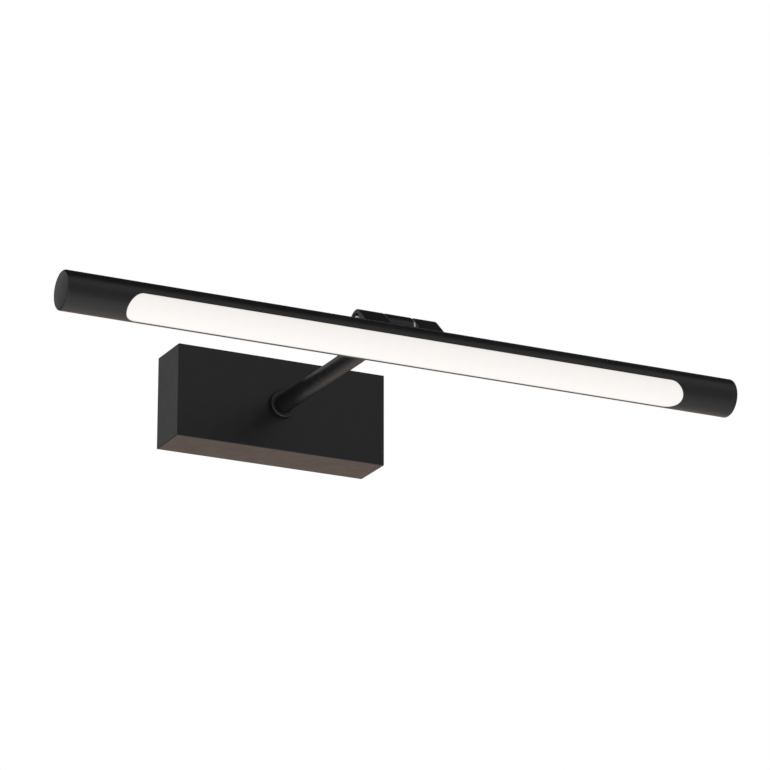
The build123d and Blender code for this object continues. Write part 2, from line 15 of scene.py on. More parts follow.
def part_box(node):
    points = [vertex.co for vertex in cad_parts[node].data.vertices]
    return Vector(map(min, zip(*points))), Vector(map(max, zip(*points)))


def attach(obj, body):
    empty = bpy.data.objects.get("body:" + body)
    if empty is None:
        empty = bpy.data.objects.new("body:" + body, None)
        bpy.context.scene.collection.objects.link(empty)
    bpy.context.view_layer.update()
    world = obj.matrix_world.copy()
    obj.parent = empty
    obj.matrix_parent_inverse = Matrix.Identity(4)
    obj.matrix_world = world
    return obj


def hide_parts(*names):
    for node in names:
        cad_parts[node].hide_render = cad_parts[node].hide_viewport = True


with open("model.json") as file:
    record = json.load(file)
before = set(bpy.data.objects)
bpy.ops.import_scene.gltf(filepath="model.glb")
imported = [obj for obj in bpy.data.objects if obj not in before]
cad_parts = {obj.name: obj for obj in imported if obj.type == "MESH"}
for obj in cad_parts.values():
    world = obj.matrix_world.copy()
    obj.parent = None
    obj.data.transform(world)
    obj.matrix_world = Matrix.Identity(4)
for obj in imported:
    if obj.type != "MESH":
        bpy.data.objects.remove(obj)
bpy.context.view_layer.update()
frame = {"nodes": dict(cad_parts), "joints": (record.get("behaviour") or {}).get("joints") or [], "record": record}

# %% [markdown]
# Every size below comes from the frame's own boxes, so nothing has to be fitted afterwards.
# The two end caps are whole discs, so their middle is the tube's axis. The hinge's place is
# written in its joint. The line from one to the other is the way the head points.

# %% Places and sizes from the frame
MM = 0.001


def middle(node):
    """Middle of a node's box."""
    low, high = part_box(node)
    return (Vector(low) + Vector(high)) / 2


def span(node, axis):
    """Lowest and highest place of a node along one axis."""
    low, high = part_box(node)
    return low[axis], high[axis]


hinge = Vector(frame["joints"][0]["pos_m"])
cap_low, cap_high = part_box("end_cap_right")
tube_axis = middle("end_cap_right")
tube_axis.x = 0.0
TUBE_R = (cap_high[2] - cap_low[2]) / 2
TUBE_END = span("lamp_tube", 0)[1]
LIGHT_END = cap_high[0]
to_hinge = hinge - tube_axis
HINGE_UP = to_hinge.length
tilt = math.atan2(to_hinge.y, to_hinge.z)
HEAD = Matrix.Translation(tube_axis) @ Matrix.Rotation(-tilt, 4, "X")
print("tube radius", round(TUBE_R / MM, 2), "mm")
print("head tilt", round(math.degrees(tilt), 1), "degrees")

# %% [markdown]
# ## Camera
# The light hangs above eye height, and the camera looks up at it from the left with a long
# lens, so that the edges of the box stay nearly parallel. It is made first, because every
# later choice is judged through it.

# %% Camera
CAMERA_AT = (-1.045895, -2.311694, -0.836857)
CAMERA_AZIMUTH, CAMERA_ELEVATION = math.radians(-26.219), math.radians(-18.744)
back_way = Vector((math.sin(CAMERA_AZIMUTH) * math.cos(CAMERA_ELEVATION),
                   -math.cos(CAMERA_AZIMUTH) * math.cos(CAMERA_ELEVATION),
                   math.sin(CAMERA_ELEVATION)))
bpy.ops.object.camera_add(location=CAMERA_AT)
camera = bpy.context.object
camera.rotation_mode = "QUATERNION"
camera.rotation_quaternion = back_way.to_track_quat("Z", "Y")
camera.data.sensor_width = 36.0
camera.data.lens = 187.0
camera.data.shift_x = -0.00065
camera.data.shift_y = 0.00065
bpy.context.scene.camera = camera

# %% [markdown]
# ## Studio
# A black object shows mostly what it reflects, so the room is built for its reflections. To the
# eye the surroundings are plain white. In reflections there is a dark ceiling, a wall of light
# round the sides that grows a little brighter upwards, and a bright floor under the light. That
# gives the tube its dark top band and its paler belly. The standard view keeps white as white.

# %% World light
scene = bpy.context.scene
scene.view_settings.view_transform = "Standard"
world = bpy.data.worlds.new("studio")
scene.world = world
world.use_nodes = True
sky = world.node_tree
sky.nodes.clear()


def ramp(tree, value, low, high, out_low, out_high, smooth=False):
    """Map Range node with plain numbers. Gives its output socket."""
    node = tree.nodes.new("ShaderNodeMapRange")
    node.interpolation_type = "SMOOTHSTEP" if smooth else "LINEAR"
    tree.links.new(value, node.inputs["Value"])
    for name, number in (("From Min", low), ("From Max", high),
                         ("To Min", out_low), ("To Max", out_high)):
        node.inputs[name].default_value = number
    return node.outputs["Result"]


def math_node(tree, operation, first, second):
    """Math node whose inputs are sockets or plain numbers. Gives its output socket."""
    node = tree.nodes.new("ShaderNodeMath")
    node.operation = operation
    for slot, value in zip(node.inputs, (first, second)):
        if isinstance(value, (int, float)):
            slot.default_value = value
        else:
            tree.links.new(value, slot)
    return node.outputs[0]


WALL_LIGHT, UPPER_LIGHT, CEILING_SHARE = 0.46, 0.70, 0.06
DARK_WAY = (0.0, 0.25, 0.97)
way = sky.nodes.new("ShaderNodeTexCoord")
way_parts = sky.nodes.new("ShaderNodeSeparateXYZ")
sky.links.new(way.outputs["Generated"], way_parts.inputs[0])
to_dark = sky.nodes.new("ShaderNodeVectorMath")
to_dark.operation = "DOT_PRODUCT"
sky.links.new(way.outputs["Generated"], to_dark.inputs[0])
to_dark.inputs[1].default_value = DARK_WAY
ceiling = ramp(sky, to_dark.outputs["Value"], 0.65, 0.82, 1.0, CEILING_SHARE, True)
walls = ramp(sky, way_parts.outputs["Z"], 0.28, 0.60, WALL_LIGHT, UPPER_LIGHT, True)
room_light = math_node(sky, "MULTIPLY", walls, ceiling)
room = sky.nodes.new("ShaderNodeBackground")
sky.links.new(room_light, room.inputs["Strength"])
white = sky.nodes.new("ShaderNodeBackground")
white.inputs["Color"].default_value = (1, 1, 1, 1)
ray = sky.nodes.new("ShaderNodeLightPath")
choose = sky.nodes.new("ShaderNodeMixShader")
sky_out = sky.nodes.new("ShaderNodeOutputWorld")
sky.links.new(ray.outputs["Is Camera Ray"], choose.inputs[0])
sky.links.new(room.outputs[0], choose.inputs[1])
sky.links.new(white.outputs[0], choose.inputs[2])
sky.links.new(choose.outputs[0], sky_out.inputs["Surface"])
print("wall light", WALL_LIGHT, "to", UPPER_LIGHT)

# %% [markdown]
# The floor is a plain plane well below the light. Its glow stands for studio lamps bounced off
# it: brightest under the light, weaker far in front and to the right, and nearly gone far
# behind, where a real wall would hide it. Looked at directly it is one even pale grey.

# %% Floor
FLOOR_Z = -2.2
FLOOR_SIZE = 40.0
bpy.ops.object.select_all(action="DESELECT")
bpy.ops.mesh.primitive_plane_add(size=FLOOR_SIZE, location=(0, 0, FLOOR_Z))
floor = bpy.context.object
floor.name = "studio_floor"
floor_paint = bpy.data.materials.new("pale_floor")
floor_paint.use_nodes = True
paint = floor_paint.node_tree
paint.nodes.clear()
spot = paint.nodes.new("ShaderNodeTexCoord")
spot_parts = paint.nodes.new("ShaderNodeSeparateXYZ")
paint.links.new(spot.outputs["Object"], spot_parts.inputs[0])
behind = ramp(paint, spot_parts.outputs["Y"], 2.0, 4.2, 1.0, 0.08, True)
before = ramp(paint, spot_parts.outputs["Y"], -6.0, -1.0, 0.62, 1.0, True)
bounce = paint.nodes.new("ShaderNodeEmission")
to_right = ramp(paint, spot_parts.outputs["X"], 0.5, 1.7, 1.0, 0.62, True)
along = math_node(paint, "MULTIPLY", behind, before)
paint.links.new(math_node(paint, "MULTIPLY", along, to_right), bounce.inputs["Strength"])
pale = paint.nodes.new("ShaderNodeEmission")
pale.inputs["Color"].default_value = (0.90, 0.90, 0.89, 1)
floor_ray = paint.nodes.new("ShaderNodeLightPath")
floor_mix = paint.nodes.new("ShaderNodeMixShader")
floor_out = paint.nodes.new("ShaderNodeOutputMaterial")
paint.links.new(floor_ray.outputs["Is Camera Ray"], floor_mix.inputs[0])
paint.links.new(bounce.outputs[0], floor_mix.inputs[1])
paint.links.new(pale.outputs[0], floor_mix.inputs[2])
paint.links.new(floor_mix.outputs[0], floor_out.inputs["Surface"])
floor.data.materials.append(floor_paint)
print("floor at", FLOOR_Z, "m")

# %% [markdown]
# One warm panel hangs low behind the light, on the right. The underside of the box mirrors it,
# which sets that face apart from the others, and so does the lower side of the arm.

# %% Warm panel
PANEL_WAY = Vector((0.418, 0.850, -0.321))
PANEL_FAR = 2.6
bpy.ops.object.light_add(type="AREA", location=PANEL_WAY * PANEL_FAR)
panel = bpy.context.object
panel.name = "warm_panel"
panel.data.shape = "RECTANGLE"
panel.data.size, panel.data.size_y = 2.0, 1.2
panel.data.energy = 4.6
panel.data.color = (1.0, 0.70, 0.56)
panel.rotation_mode = "QUATERNION"
panel.rotation_quaternion = PANEL_WAY.to_track_quat("Z", "Y")
panel.visible_camera = False
print("panel", [round(part, 2) for part in panel.location], "m")

# %% [markdown]
# ## Shared finishes
# Effects that belong to a surface rather than to one material are node groups, each made once.
# Grain is the fine unevenness of a powder coat or of moulded plastic. Streaks are the long marks
# that extruding leaves. Handling is the faint cloudiness that dust and fingers give to anything
# that has hung on a wall. Edge wear comes last. Their noises read Object coordinates, which stay
# with the piece when the head tilts.

# %% Node group helper
def new_group(name, inputs, outputs):
    """Shader node group with float and vector inputs, and its ends ready to link."""
    group = bpy.data.node_groups.new(name, "ShaderNodeTree")
    for label, kind, value in inputs:
        socket = group.interface.new_socket(name=label, in_out="INPUT", socket_type=kind)
        if value is not None:
            socket.default_value = value
    for label, kind in outputs:
        group.interface.new_socket(name=label, in_out="OUTPUT", socket_type=kind)
    start = group.nodes.new("NodeGroupInput")
    end = group.nodes.new("NodeGroupOutput")
    return group, start, end


def noise(tree, place, scale, detail, roughness=0.5):
    """Noise texture read at a place. Gives its value socket."""
    node = tree.nodes.new("ShaderNodeTexNoise")
    node.inputs["Detail"].default_value = detail
    node.inputs["Roughness"].default_value = roughness
    if isinstance(scale, (int, float)):
        node.inputs["Scale"].default_value = scale
    else:
        tree.links.new(scale, node.inputs["Scale"])
    tree.links.new(place, node.inputs["Vector"])
    return node.outputs["Fac"]


# %% [markdown]
# Grain gives two things: a fine height for the bump, and a slow mottle for colour and gloss.

# %% Grain group
grain, grain_in, grain_out = new_group(
    "surface_grain",
    [("Place", "NodeSocketVector", None), ("Scale", "NodeSocketFloat", 1800.0)],
    [("Height", "NodeSocketFloat"), ("Mottle", "NodeSocketFloat")])
coarse_scale = math_node(grain, "MULTIPLY", grain_in.outputs["Scale"], 0.06)
fine = noise(grain, grain_in.outputs["Place"], grain_in.outputs["Scale"], 3.0)
coarse = noise(grain, grain_in.outputs["Place"], coarse_scale, 4.0)
grain.links.new(fine, grain_out.inputs["Height"])
grain.links.new(ramp(grain, coarse, 0.3, 0.7, 0.0, 1.0), grain_out.inputs["Mottle"])

# %% [markdown]
# Streaks are the same noise drawn out along X, the way in which a profile leaves the die.

# %% Streak group
streaks, streak_in, streak_out = new_group(
    "long_streaks",
    [("Place", "NodeSocketVector", None), ("Scale", "NodeSocketFloat", 900.0)],
    [("Height", "NodeSocketFloat"), ("Tone", "NodeSocketFloat")])
stretch = streaks.nodes.new("ShaderNodeVectorMath")
stretch.operation = "MULTIPLY"
stretch.inputs[1].default_value = (0.02, 1.0, 1.0)
streaks.links.new(streak_in.outputs["Place"], stretch.inputs[0])
drawn = noise(streaks, stretch.outputs[0], streak_in.outputs["Scale"], 5.0, 0.65)
streaks.links.new(drawn, streak_out.inputs["Height"])
streaks.links.new(ramp(streaks, drawn, 0.3, 0.7, 0.0, 1.0), streak_out.inputs["Tone"])

# %% [markdown]
# Dust settles only where a face looks up. Smudges come wherever the slow clouds are.

# %% Handling group
handling, handling_in, handling_out = new_group(
    "handling",
    [("Place", "NodeSocketVector", None), ("Facing", "NodeSocketVector", None)],
    [("Dust", "NodeSocketFloat"), ("Smudge", "NodeSocketFloat")])
face = handling.nodes.new("ShaderNodeSeparateXYZ")
handling.links.new(handling_in.outputs["Facing"], face.inputs[0])
upward = ramp(handling, face.outputs["Z"], 0.35, 1.0, 0.0, 1.0)
clouds = noise(handling, handling_in.outputs["Place"], 35.0, 6.0, 0.6)
cloud = ramp(handling, clouds, 0.42, 0.68, 0.0, 1.0)
dots = noise(handling, handling_in.outputs["Place"], 900.0, 2.0)
specks = ramp(handling, dots, 0.62, 0.72, 0.0, 1.0)
settled = math_node(handling, "ADD", math_node(handling, "MULTIPLY", cloud, 0.6),
                    math_node(handling, "MULTIPLY", specks, 0.4))
handling.links.new(math_node(handling, "MULTIPLY", upward, settled), handling_out.inputs["Dust"])
handling.links.new(cloud, handling_out.inputs["Smudge"])

# %% [markdown]
# Edges are where a coat is thinnest and where hands and tools rub first. A rounded normal is
# compared with the true one: they differ only within a fraction of a millimetre of an edge. A
# cloudy noise then breaks the mask up, so that the wear comes and goes along the edge.

# %% Edge wear group
edge_wear, edge_in, edge_out = new_group(
    "edge_wear",
    [("Place", "NodeSocketVector", None), ("Width", "NodeSocketFloat", 0.0004)],
    [("Worn", "NodeSocketFloat")])
rounded = edge_wear.nodes.new("ShaderNodeBevel")
edge_wear.links.new(edge_in.outputs["Width"], rounded.inputs["Radius"])
surface = edge_wear.nodes.new("ShaderNodeNewGeometry")
agree = edge_wear.nodes.new("ShaderNodeVectorMath")
agree.operation = "DOT_PRODUCT"
edge_wear.links.new(rounded.outputs["Normal"], agree.inputs[0])
edge_wear.links.new(surface.outputs["Normal"], agree.inputs[1])
near_edge = ramp(edge_wear, agree.outputs["Value"], 0.80, 0.985, 1.0, 0.0)
broken = noise(edge_wear, edge_in.outputs["Place"], 240.0, 5.0, 0.6)
patches = ramp(edge_wear, broken, 0.45, 0.65, 0.0, 1.0)
edge_wear.links.new(math_node(edge_wear, "MULTIPLY", near_edge, patches), edge_out.inputs["Worn"])
print("groups:", [group.name for group in bpy.data.node_groups])

# %% [markdown]
# ## Materials
# Each material has its own Principled shader. Numbers that are the same all over sit on the
# shader's sockets, and only what changes over the surface is linked.

# %% Material helpers
def new_material(name, **values):
    """Material with plain values on its Principled sockets. Gives it with its tree and shader."""
    material = bpy.data.materials.new(name)
    material.use_nodes = True
    tree = material.node_tree
    shader = tree.nodes["Principled BSDF"]
    for label, value in values.items():
        shader.inputs[label.replace("_", " ")].default_value = value
    return material, tree, shader


def place_of(tree):
    """Object coordinates and normal, as two sockets."""
    coordinates = tree.nodes.new("ShaderNodeTexCoord")
    return coordinates.outputs["Object"], coordinates.outputs["Normal"]


def use_group(tree, group, **links):
    """Group node with the given sockets or numbers on its inputs."""
    node = tree.nodes.new("ShaderNodeGroup")
    node.node_tree = group
    for label, value in links.items():
        if isinstance(value, (int, float)):
            node.inputs[label].default_value = value
        else:
            tree.links.new(value, node.inputs[label])
    return node


def blend_colours(tree, amount, first, second):
    """Mix of two colours by a mask. Colours are tuples or sockets. Gives the colour socket."""
    node = tree.nodes.new("ShaderNodeMix")
    node.data_type = "RGBA"
    tree.links.new(amount, node.inputs["Factor"])
    for socket, value in ((node.inputs[6], first), (node.inputs[7], second)):
        if isinstance(value, tuple):
            socket.default_value = value + (1.0,)
        else:
            tree.links.new(value, socket)
    return node.outputs[2]


def add_bump(tree, shader, height, depth, strength=1.0):
    """Bump of a given depth in metres on the shader's normal."""
    bump = tree.nodes.new("ShaderNodeBump")
    bump.inputs["Strength"].default_value = strength
    bump.inputs["Distance"].default_value = depth
    tree.links.new(height, bump.inputs["Height"])
    tree.links.new(bump.outputs["Normal"], shader.inputs["Normal"])


# %% [markdown]
# Most of what shows is powder-coated metal. The powder melts into a satin skin with a fine
# orange peel. It is nearly black, so its colour hardly varies and its gloss does the work.

# %% Powder coat
def powder_coat(name, colour, dusty, roughness):
    """Satin powder coat: fine orange peel, slight mottling, rubbed edges and a little dust."""
    material, tree, shader = new_material(name, IOR=1.5)
    place, facing = place_of(tree)
    peel = use_group(tree, grain, Place=place, Scale=2600.0)
    marks = use_group(tree, handling, Place=place, Facing=facing)
    paler = tuple(1.35 * channel for channel in colour)
    coat = blend_colours(tree, peel.outputs["Mottle"], colour, paler)
    wear = use_group(tree, edge_wear, Place=place, Width=0.0004)
    worn = math_node(tree, "MULTIPLY", wear.outputs["Worn"], 0.35)
    rubbed = blend_colours(tree, worn, coat, dusty)
    dust = math_node(tree, "MULTIPLY", marks.outputs["Dust"], 0.10)
    tree.links.new(blend_colours(tree, dust, rubbed, dusty), shader.inputs["Base Color"])
    mottled = ramp(tree, peel.outputs["Mottle"], 0.0, 1.0, roughness - 0.03, roughness + 0.04)
    smudged = math_node(tree, "MULTIPLY", marks.outputs["Smudge"], 0.05)
    polished = math_node(tree, "MULTIPLY", wear.outputs["Worn"], -0.08)
    rough = math_node(tree, "ADD", mottled, math_node(tree, "ADD", smudged, polished))
    tree.links.new(rough, shader.inputs["Roughness"])
    add_bump(tree, shader, peel.outputs["Height"], 0.00002, 0.6)
    return material


BLACK = (0.0060, 0.0060, 0.0059)
powder_black = powder_coat("satin_black_powder_coat", BLACK, (0.16, 0.16, 0.15), 0.33)
print("powder coat made")

# %% [markdown]
# The opal window is lit from behind by a row of LEDs, so it glows almost evenly, and falls off
# a little towards its long edges where the tube's wall shades it. The glow is an emission with
# a mask across the window, on a milky plastic that would look white even when switched off.

# %% Opal window
LED_PITCH = 10.4 * MM
LED_WAVES = 0.3142 / LED_PITCH


def opal_material():
    """Milky cover, lit from inside."""
    material, tree, shader = new_material("lit_opal_cover", IOR=1.49, Emission_Strength=1.0)
    shader.inputs["Base Color"].default_value = (0.22, 0.22, 0.21, 1)
    place, _ = place_of(tree)
    mapping = tree.nodes.new("ShaderNodeMapping")
    mapping.vector_type = "TEXTURE"
    mapping.inputs["Location"].default_value = tube_axis
    mapping.inputs["Rotation"].default_value = (-tilt, 0, 0)
    tree.links.new(place, mapping.inputs["Vector"])
    split = tree.nodes.new("ShaderNodeSeparateXYZ")
    tree.links.new(mapping.outputs[0], split.inputs[0])
    across = math_node(tree, "ABSOLUTE", split.outputs["Y"], 0.0)
    edge = ramp(tree, across, 0.0062, 0.0096, 0.0, 1.0)
    cells = tree.nodes.new("ShaderNodeTexWave")
    cells.bands_direction = "X"
    cells.inputs["Scale"].default_value = LED_WAVES
    tree.links.new(mapping.outputs[0], cells.inputs["Vector"])
    glow = blend_colours(tree, ramp(tree, cells.outputs["Fac"], 0.0, 1.0, 0.0, 1.0),
                         (0.782, 0.752, 0.732), (0.788, 0.758, 0.738))
    shaded = blend_colours(tree, edge, glow, (0.755, 0.725, 0.700))
    tree.links.new(shaded, shader.inputs["Emission Color"])
    fine = use_group(tree, grain, Place=place, Scale=1500.0)
    gloss = ramp(tree, fine.outputs["Mottle"], 0.0, 1.0, 0.36, 0.41)
    tree.links.new(gloss, shader.inputs["Roughness"])
    add_bump(tree, shader, fine.outputs["Height"], 0.00001, 0.25)
    return material


opal = opal_material()

# %% [markdown]
# Steel comes in two finishes. The plate, nuts and screws are zinc plated: a cold grey with a
# cloudy sheen. The hinge bolt and its washers are turned stainless steel, and the cutting tool
# leaves fine rings round the hinge axis.

# %% Steel and aluminium
def zinc_plate():
    """Zinc-plated steel with cloudy sheen and edges rubbed bare."""
    material, tree, shader = new_material("zinc_plated_steel", Metallic=1.0)
    place, facing = place_of(tree)
    skin = use_group(tree, grain, Place=place, Scale=2200.0)
    marks = use_group(tree, handling, Place=place, Facing=facing)
    wear = use_group(tree, edge_wear, Place=place, Width=0.0003)
    tone = blend_colours(tree, skin.outputs["Mottle"], (0.52, 0.53, 0.53), (0.66, 0.66, 0.63))
    bare = blend_colours(tree, wear.outputs["Worn"], tone, (0.74, 0.73, 0.71))
    tree.links.new(bare, shader.inputs["Base Color"])
    cloudy = ramp(tree, marks.outputs["Smudge"], 0.0, 1.0, 0.30, 0.46)
    polished = math_node(tree, "MULTIPLY", wear.outputs["Worn"], -0.10)
    tree.links.new(math_node(tree, "ADD", cloudy, polished), shader.inputs["Roughness"])
    add_bump(tree, shader, skin.outputs["Height"], 0.00001, 0.35)
    return material


def turned_steel():
    """Stainless steel with rings from the lathe round the hinge axis."""
    material, tree, shader = new_material("turned_stainless_steel", Metallic=1.0)
    place, _ = place_of(tree)
    mapping = tree.nodes.new("ShaderNodeMapping")
    mapping.inputs["Location"].default_value = -hinge
    tree.links.new(place, mapping.inputs["Vector"])
    rings = tree.nodes.new("ShaderNodeTexWave")
    rings.wave_type = "RINGS"
    rings.rings_direction = "X"
    rings.inputs["Scale"].default_value = 900.0
    rings.inputs["Distortion"].default_value = 1.5
    rings.inputs["Detail"].default_value = 2.0
    tree.links.new(mapping.outputs[0], rings.inputs["Vector"])
    tone = blend_colours(tree, rings.outputs["Fac"], (0.66, 0.66, 0.65), (0.80, 0.80, 0.79))
    tree.links.new(tone, shader.inputs["Base Color"])
    gloss = ramp(tree, rings.outputs["Fac"], 0.0, 1.0, 0.24, 0.36)
    tree.links.new(gloss, shader.inputs["Roughness"])
    add_bump(tree, shader, rings.outputs["Fac"], 0.00001, 0.4)
    return material


def extruded_aluminium():
    """Bare extruded aluminium with long die lines."""
    material, tree, shader = new_material("extruded_aluminium", Metallic=1.0)
    place, _ = place_of(tree)
    lines = use_group(tree, streaks, Place=place, Scale=1400.0)
    tone = blend_colours(tree, lines.outputs["Tone"], (0.70, 0.70, 0.71), (0.82, 0.82, 0.83))
    tree.links.new(tone, shader.inputs["Base Color"])
    gloss = ramp(tree, lines.outputs["Tone"], 0.0, 1.0, 0.28, 0.42)
    tree.links.new(gloss, shader.inputs["Roughness"])
    add_bump(tree, shader, lines.outputs["Height"], 0.00001, 0.5)
    return material


zinc = zinc_plate()
stainless = turned_steel()
aluminium = extruded_aluminium()

# %% [markdown]
# Plastics and rubber share one recipe. They differ in colour, in how rough the mould was, and in
# how coarse its grain is. Circuit boards add a faint pattern of tracks under the solder mask, and
# the earth core is green with a yellow side, so that nobody takes it for anything else.

# %% Plastics, rubber and boards
def moulded(name, colour, roughness, scale, depth):
    """Moulded plastic or rubber: colour drift, grain, uneven gloss and rubbed edges."""
    material, tree, shader = new_material(name, IOR=1.5)
    place, facing = place_of(tree)
    skin = use_group(tree, grain, Place=place, Scale=scale)
    marks = use_group(tree, handling, Place=place, Facing=facing)
    darker = tuple(0.88 * channel for channel in colour)
    wear = use_group(tree, edge_wear, Place=place, Width=0.0003)
    worn = math_node(tree, "MULTIPLY", wear.outputs["Worn"], 0.5)
    paler = tuple(0.8 * channel + 0.1 for channel in colour)
    tone = blend_colours(tree, skin.outputs["Mottle"], darker, colour)
    tree.links.new(blend_colours(tree, worn, tone, paler), shader.inputs["Base Color"])
    uneven = ramp(tree, marks.outputs["Smudge"], 0.0, 1.0, roughness - 0.04, roughness + 0.08)
    polished = math_node(tree, "MULTIPLY", wear.outputs["Worn"], -0.06)
    tree.links.new(math_node(tree, "ADD", uneven, polished), shader.inputs["Roughness"])
    add_bump(tree, shader, skin.outputs["Height"], depth, 0.5)
    return material, tree, shader


def circuit_board(name, mask_colour, track_colour, pitch):
    """Board with tracks that show faintly through the solder mask."""
    material, tree, shader = new_material(name, Coat_Weight=0.2)
    place, _ = place_of(tree)
    tracks = tree.nodes.new("ShaderNodeTexBrick")
    tracks.inputs["Scale"].default_value = 1.0
    tracks.inputs["Brick Width"].default_value = pitch * 4
    tracks.inputs["Row Height"].default_value = pitch
    tracks.inputs["Mortar Size"].default_value = pitch * 0.16
    tree.links.new(place, tracks.inputs["Vector"])
    tree.links.new(blend_colours(tree, tracks.outputs["Fac"], mask_colour, track_colour),
                   shader.inputs["Base Color"])
    skin = use_group(tree, grain, Place=place, Scale=1500.0)
    gloss = ramp(tree, skin.outputs["Mottle"], 0.0, 1.0, 0.28, 0.38)
    tree.links.new(gloss, shader.inputs["Roughness"])
    add_bump(tree, shader, tracks.outputs["Fac"], 0.00003, 0.5)
    return material


EARTH_GREEN = (0.06, 0.30, 0.05)


def earth_sleeve():
    """Soft sleeve, green with a yellow side."""
    material, tree, shader = moulded("green_yellow_sleeve", EARTH_GREEN, 0.42, 1200.0, 0.00001)
    place, facing = place_of(tree)
    side = tree.nodes.new("ShaderNodeSeparateXYZ")
    tree.links.new(facing, side.inputs[0])
    stripe = ramp(tree, side.outputs["Y"], -0.05, 0.05, 1.0, 0.0)
    skin = use_group(tree, grain, Place=place, Scale=1200.0)
    green = blend_colours(tree, skin.outputs["Mottle"], (0.05, 0.27, 0.045), EARTH_GREEN)
    striped = blend_colours(tree, stripe, green, (0.70, 0.58, 0.03))
    tree.links.new(striped, shader.inputs["Base Color"])
    return material


def led_package():
    """LED: white package with a round phosphor well."""
    material, tree, shader = new_material("led_package", Emission_Strength=0.8)
    place, _ = place_of(tree)
    waves = tree.nodes.new("ShaderNodeTexWave")
    waves.bands_direction = "X"
    waves.inputs["Scale"].default_value = LED_WAVES
    tree.links.new(place, waves.inputs["Vector"])
    well = ramp(tree, waves.outputs["Fac"], 0.2, 0.5, 1.0, 0.0)
    tone = blend_colours(tree, well, (0.85, 0.84, 0.80), (0.92, 0.66, 0.16))
    tree.links.new(tone, shader.inputs["Base Color"])
    shine = blend_colours(tree, well, (0.3, 0.28, 0.25), (1.0, 0.86, 0.60))
    tree.links.new(shine, shader.inputs["Emission Color"])
    skin = use_group(tree, grain, Place=place, Scale=1800.0)
    gloss = ramp(tree, skin.outputs["Mottle"], 0.0, 1.0, 0.30, 0.42)
    tree.links.new(gloss, shader.inputs["Roughness"])
    add_bump(tree, shader, skin.outputs["Height"], 0.00001, 0.3)
    return material


finishes = {
    "powder_black": powder_black,
    "opal_diffuser": opal,
    "zinc_steel": zinc,
    "bright_steel": stainless,
    "aluminium": aluminium,
    "board_white": circuit_board("white_led_board", (0.84, 0.84, 0.81), (0.72, 0.71, 0.66),
                                 0.0021),
    "board_green": circuit_board("green_driver_board", (0.02, 0.13, 0.05), (0.05, 0.22, 0.08),
                                 0.0016),
    "led_package": led_package(),
    "driver_parts": moulded("wound_and_potted_parts", (0.20, 0.15, 0.05), 0.45, 900.0, 0.00003)[0],
    "driver_plastic": moulded("white_driver_case", (0.80, 0.80, 0.77), 0.46, 1500.0, 0.00002)[0],
    "terminal_plastic": moulded("natural_nylon", (0.78, 0.76, 0.68), 0.50, 1100.0, 0.00002)[0],
    "connector_plastic": moulded("white_connector", (0.84, 0.84, 0.81), 0.34, 1400.0, 0.00001)[0],
    "black_rubber": moulded("black_rubber", (0.018, 0.018, 0.018), 0.72, 1000.0, 0.00003)[0],
    "core_brown": moulded("brown_sleeve", (0.16, 0.06, 0.025), 0.42, 1200.0, 0.00001)[0],
    "core_blue": moulded("blue_sleeve", (0.02, 0.11, 0.38), 0.42, 1200.0, 0.00001)[0],
    "core_green_yellow": earth_sleeve(),
    "lead_sheath": moulded("white_lead_sheath", (0.76, 0.76, 0.73), 0.44, 1200.0, 0.00001)[0],
}

# %% [markdown]
# Each node of the frame names its finish in the record. All of them are painted here, also those
# that a finer piece replaces further down.

# %% Finish every node of the frame
for part in frame["record"]["subparts"]:
    node = frame["nodes"][part["node"]]
    node.data.materials.clear()
    node.data.materials.append(finishes[part["material_slot"]])
print("finishes:", len(finishes))

# %% [markdown]
# ## Modelling helpers
# Each new piece starts as a primitive at its own size and place. An operator acts on whatever is
# selected, so the selection is always cleared first. When a piece is done its place is in its
# mesh and its object is back at the origin, which is what settle does.

# %% Primitives
TURN = {"X": (0, math.pi / 2, 0), "Y": (math.pi / 2, 0, 0), "Z": (0, 0, 0)}


def take(obj):
    """Selects one object and nothing else."""
    bpy.ops.object.select_all(action="DESELECT")
    obj.select_set(True)
    bpy.context.view_layer.objects.active = obj


def settle(obj, name):
    """Names the piece and moves its place into its mesh."""
    take(obj)
    bpy.ops.object.transform_apply(location=True, rotation=True, scale=True)
    obj.name = name
    obj.data.name = name
    return obj


def on_axis(axis, along, across=(0.0, 0.0)):
    """Point at a distance along an axis. across is its place on the two other axes."""
    return {"X": Vector((along, *across)), "Y": Vector((across[0], along, across[1])),
            "Z": Vector((*across, along))}[axis]


def add_bar(name, axis, radius, start, end, across=(0.0, 0.0), sides=96, ends="NGON"):
    """Round bar along an axis, from start to end."""
    bpy.ops.object.select_all(action="DESELECT")
    bpy.ops.mesh.primitive_cylinder_add(vertices=sides, radius=radius, depth=abs(end - start),
                                        location=on_axis(axis, (start + end) / 2, across),
                                        rotation=TURN[axis], end_fill_type=ends)
    return settle(bpy.context.object, name)


def add_block(name, low, high):
    """Box between two corners."""
    low, high = Vector(low), Vector(high)
    bpy.ops.object.select_all(action="DESELECT")
    bpy.ops.mesh.primitive_cube_add(size=1.0, location=(low + high) / 2)
    bpy.context.object.scale = high - low
    return settle(bpy.context.object, name)


# %% [markdown]
# Faces and edges are chosen by where they are and which way they point, as a hand would choose
# them with the mouse. A test gets the middle and the direction of each one.

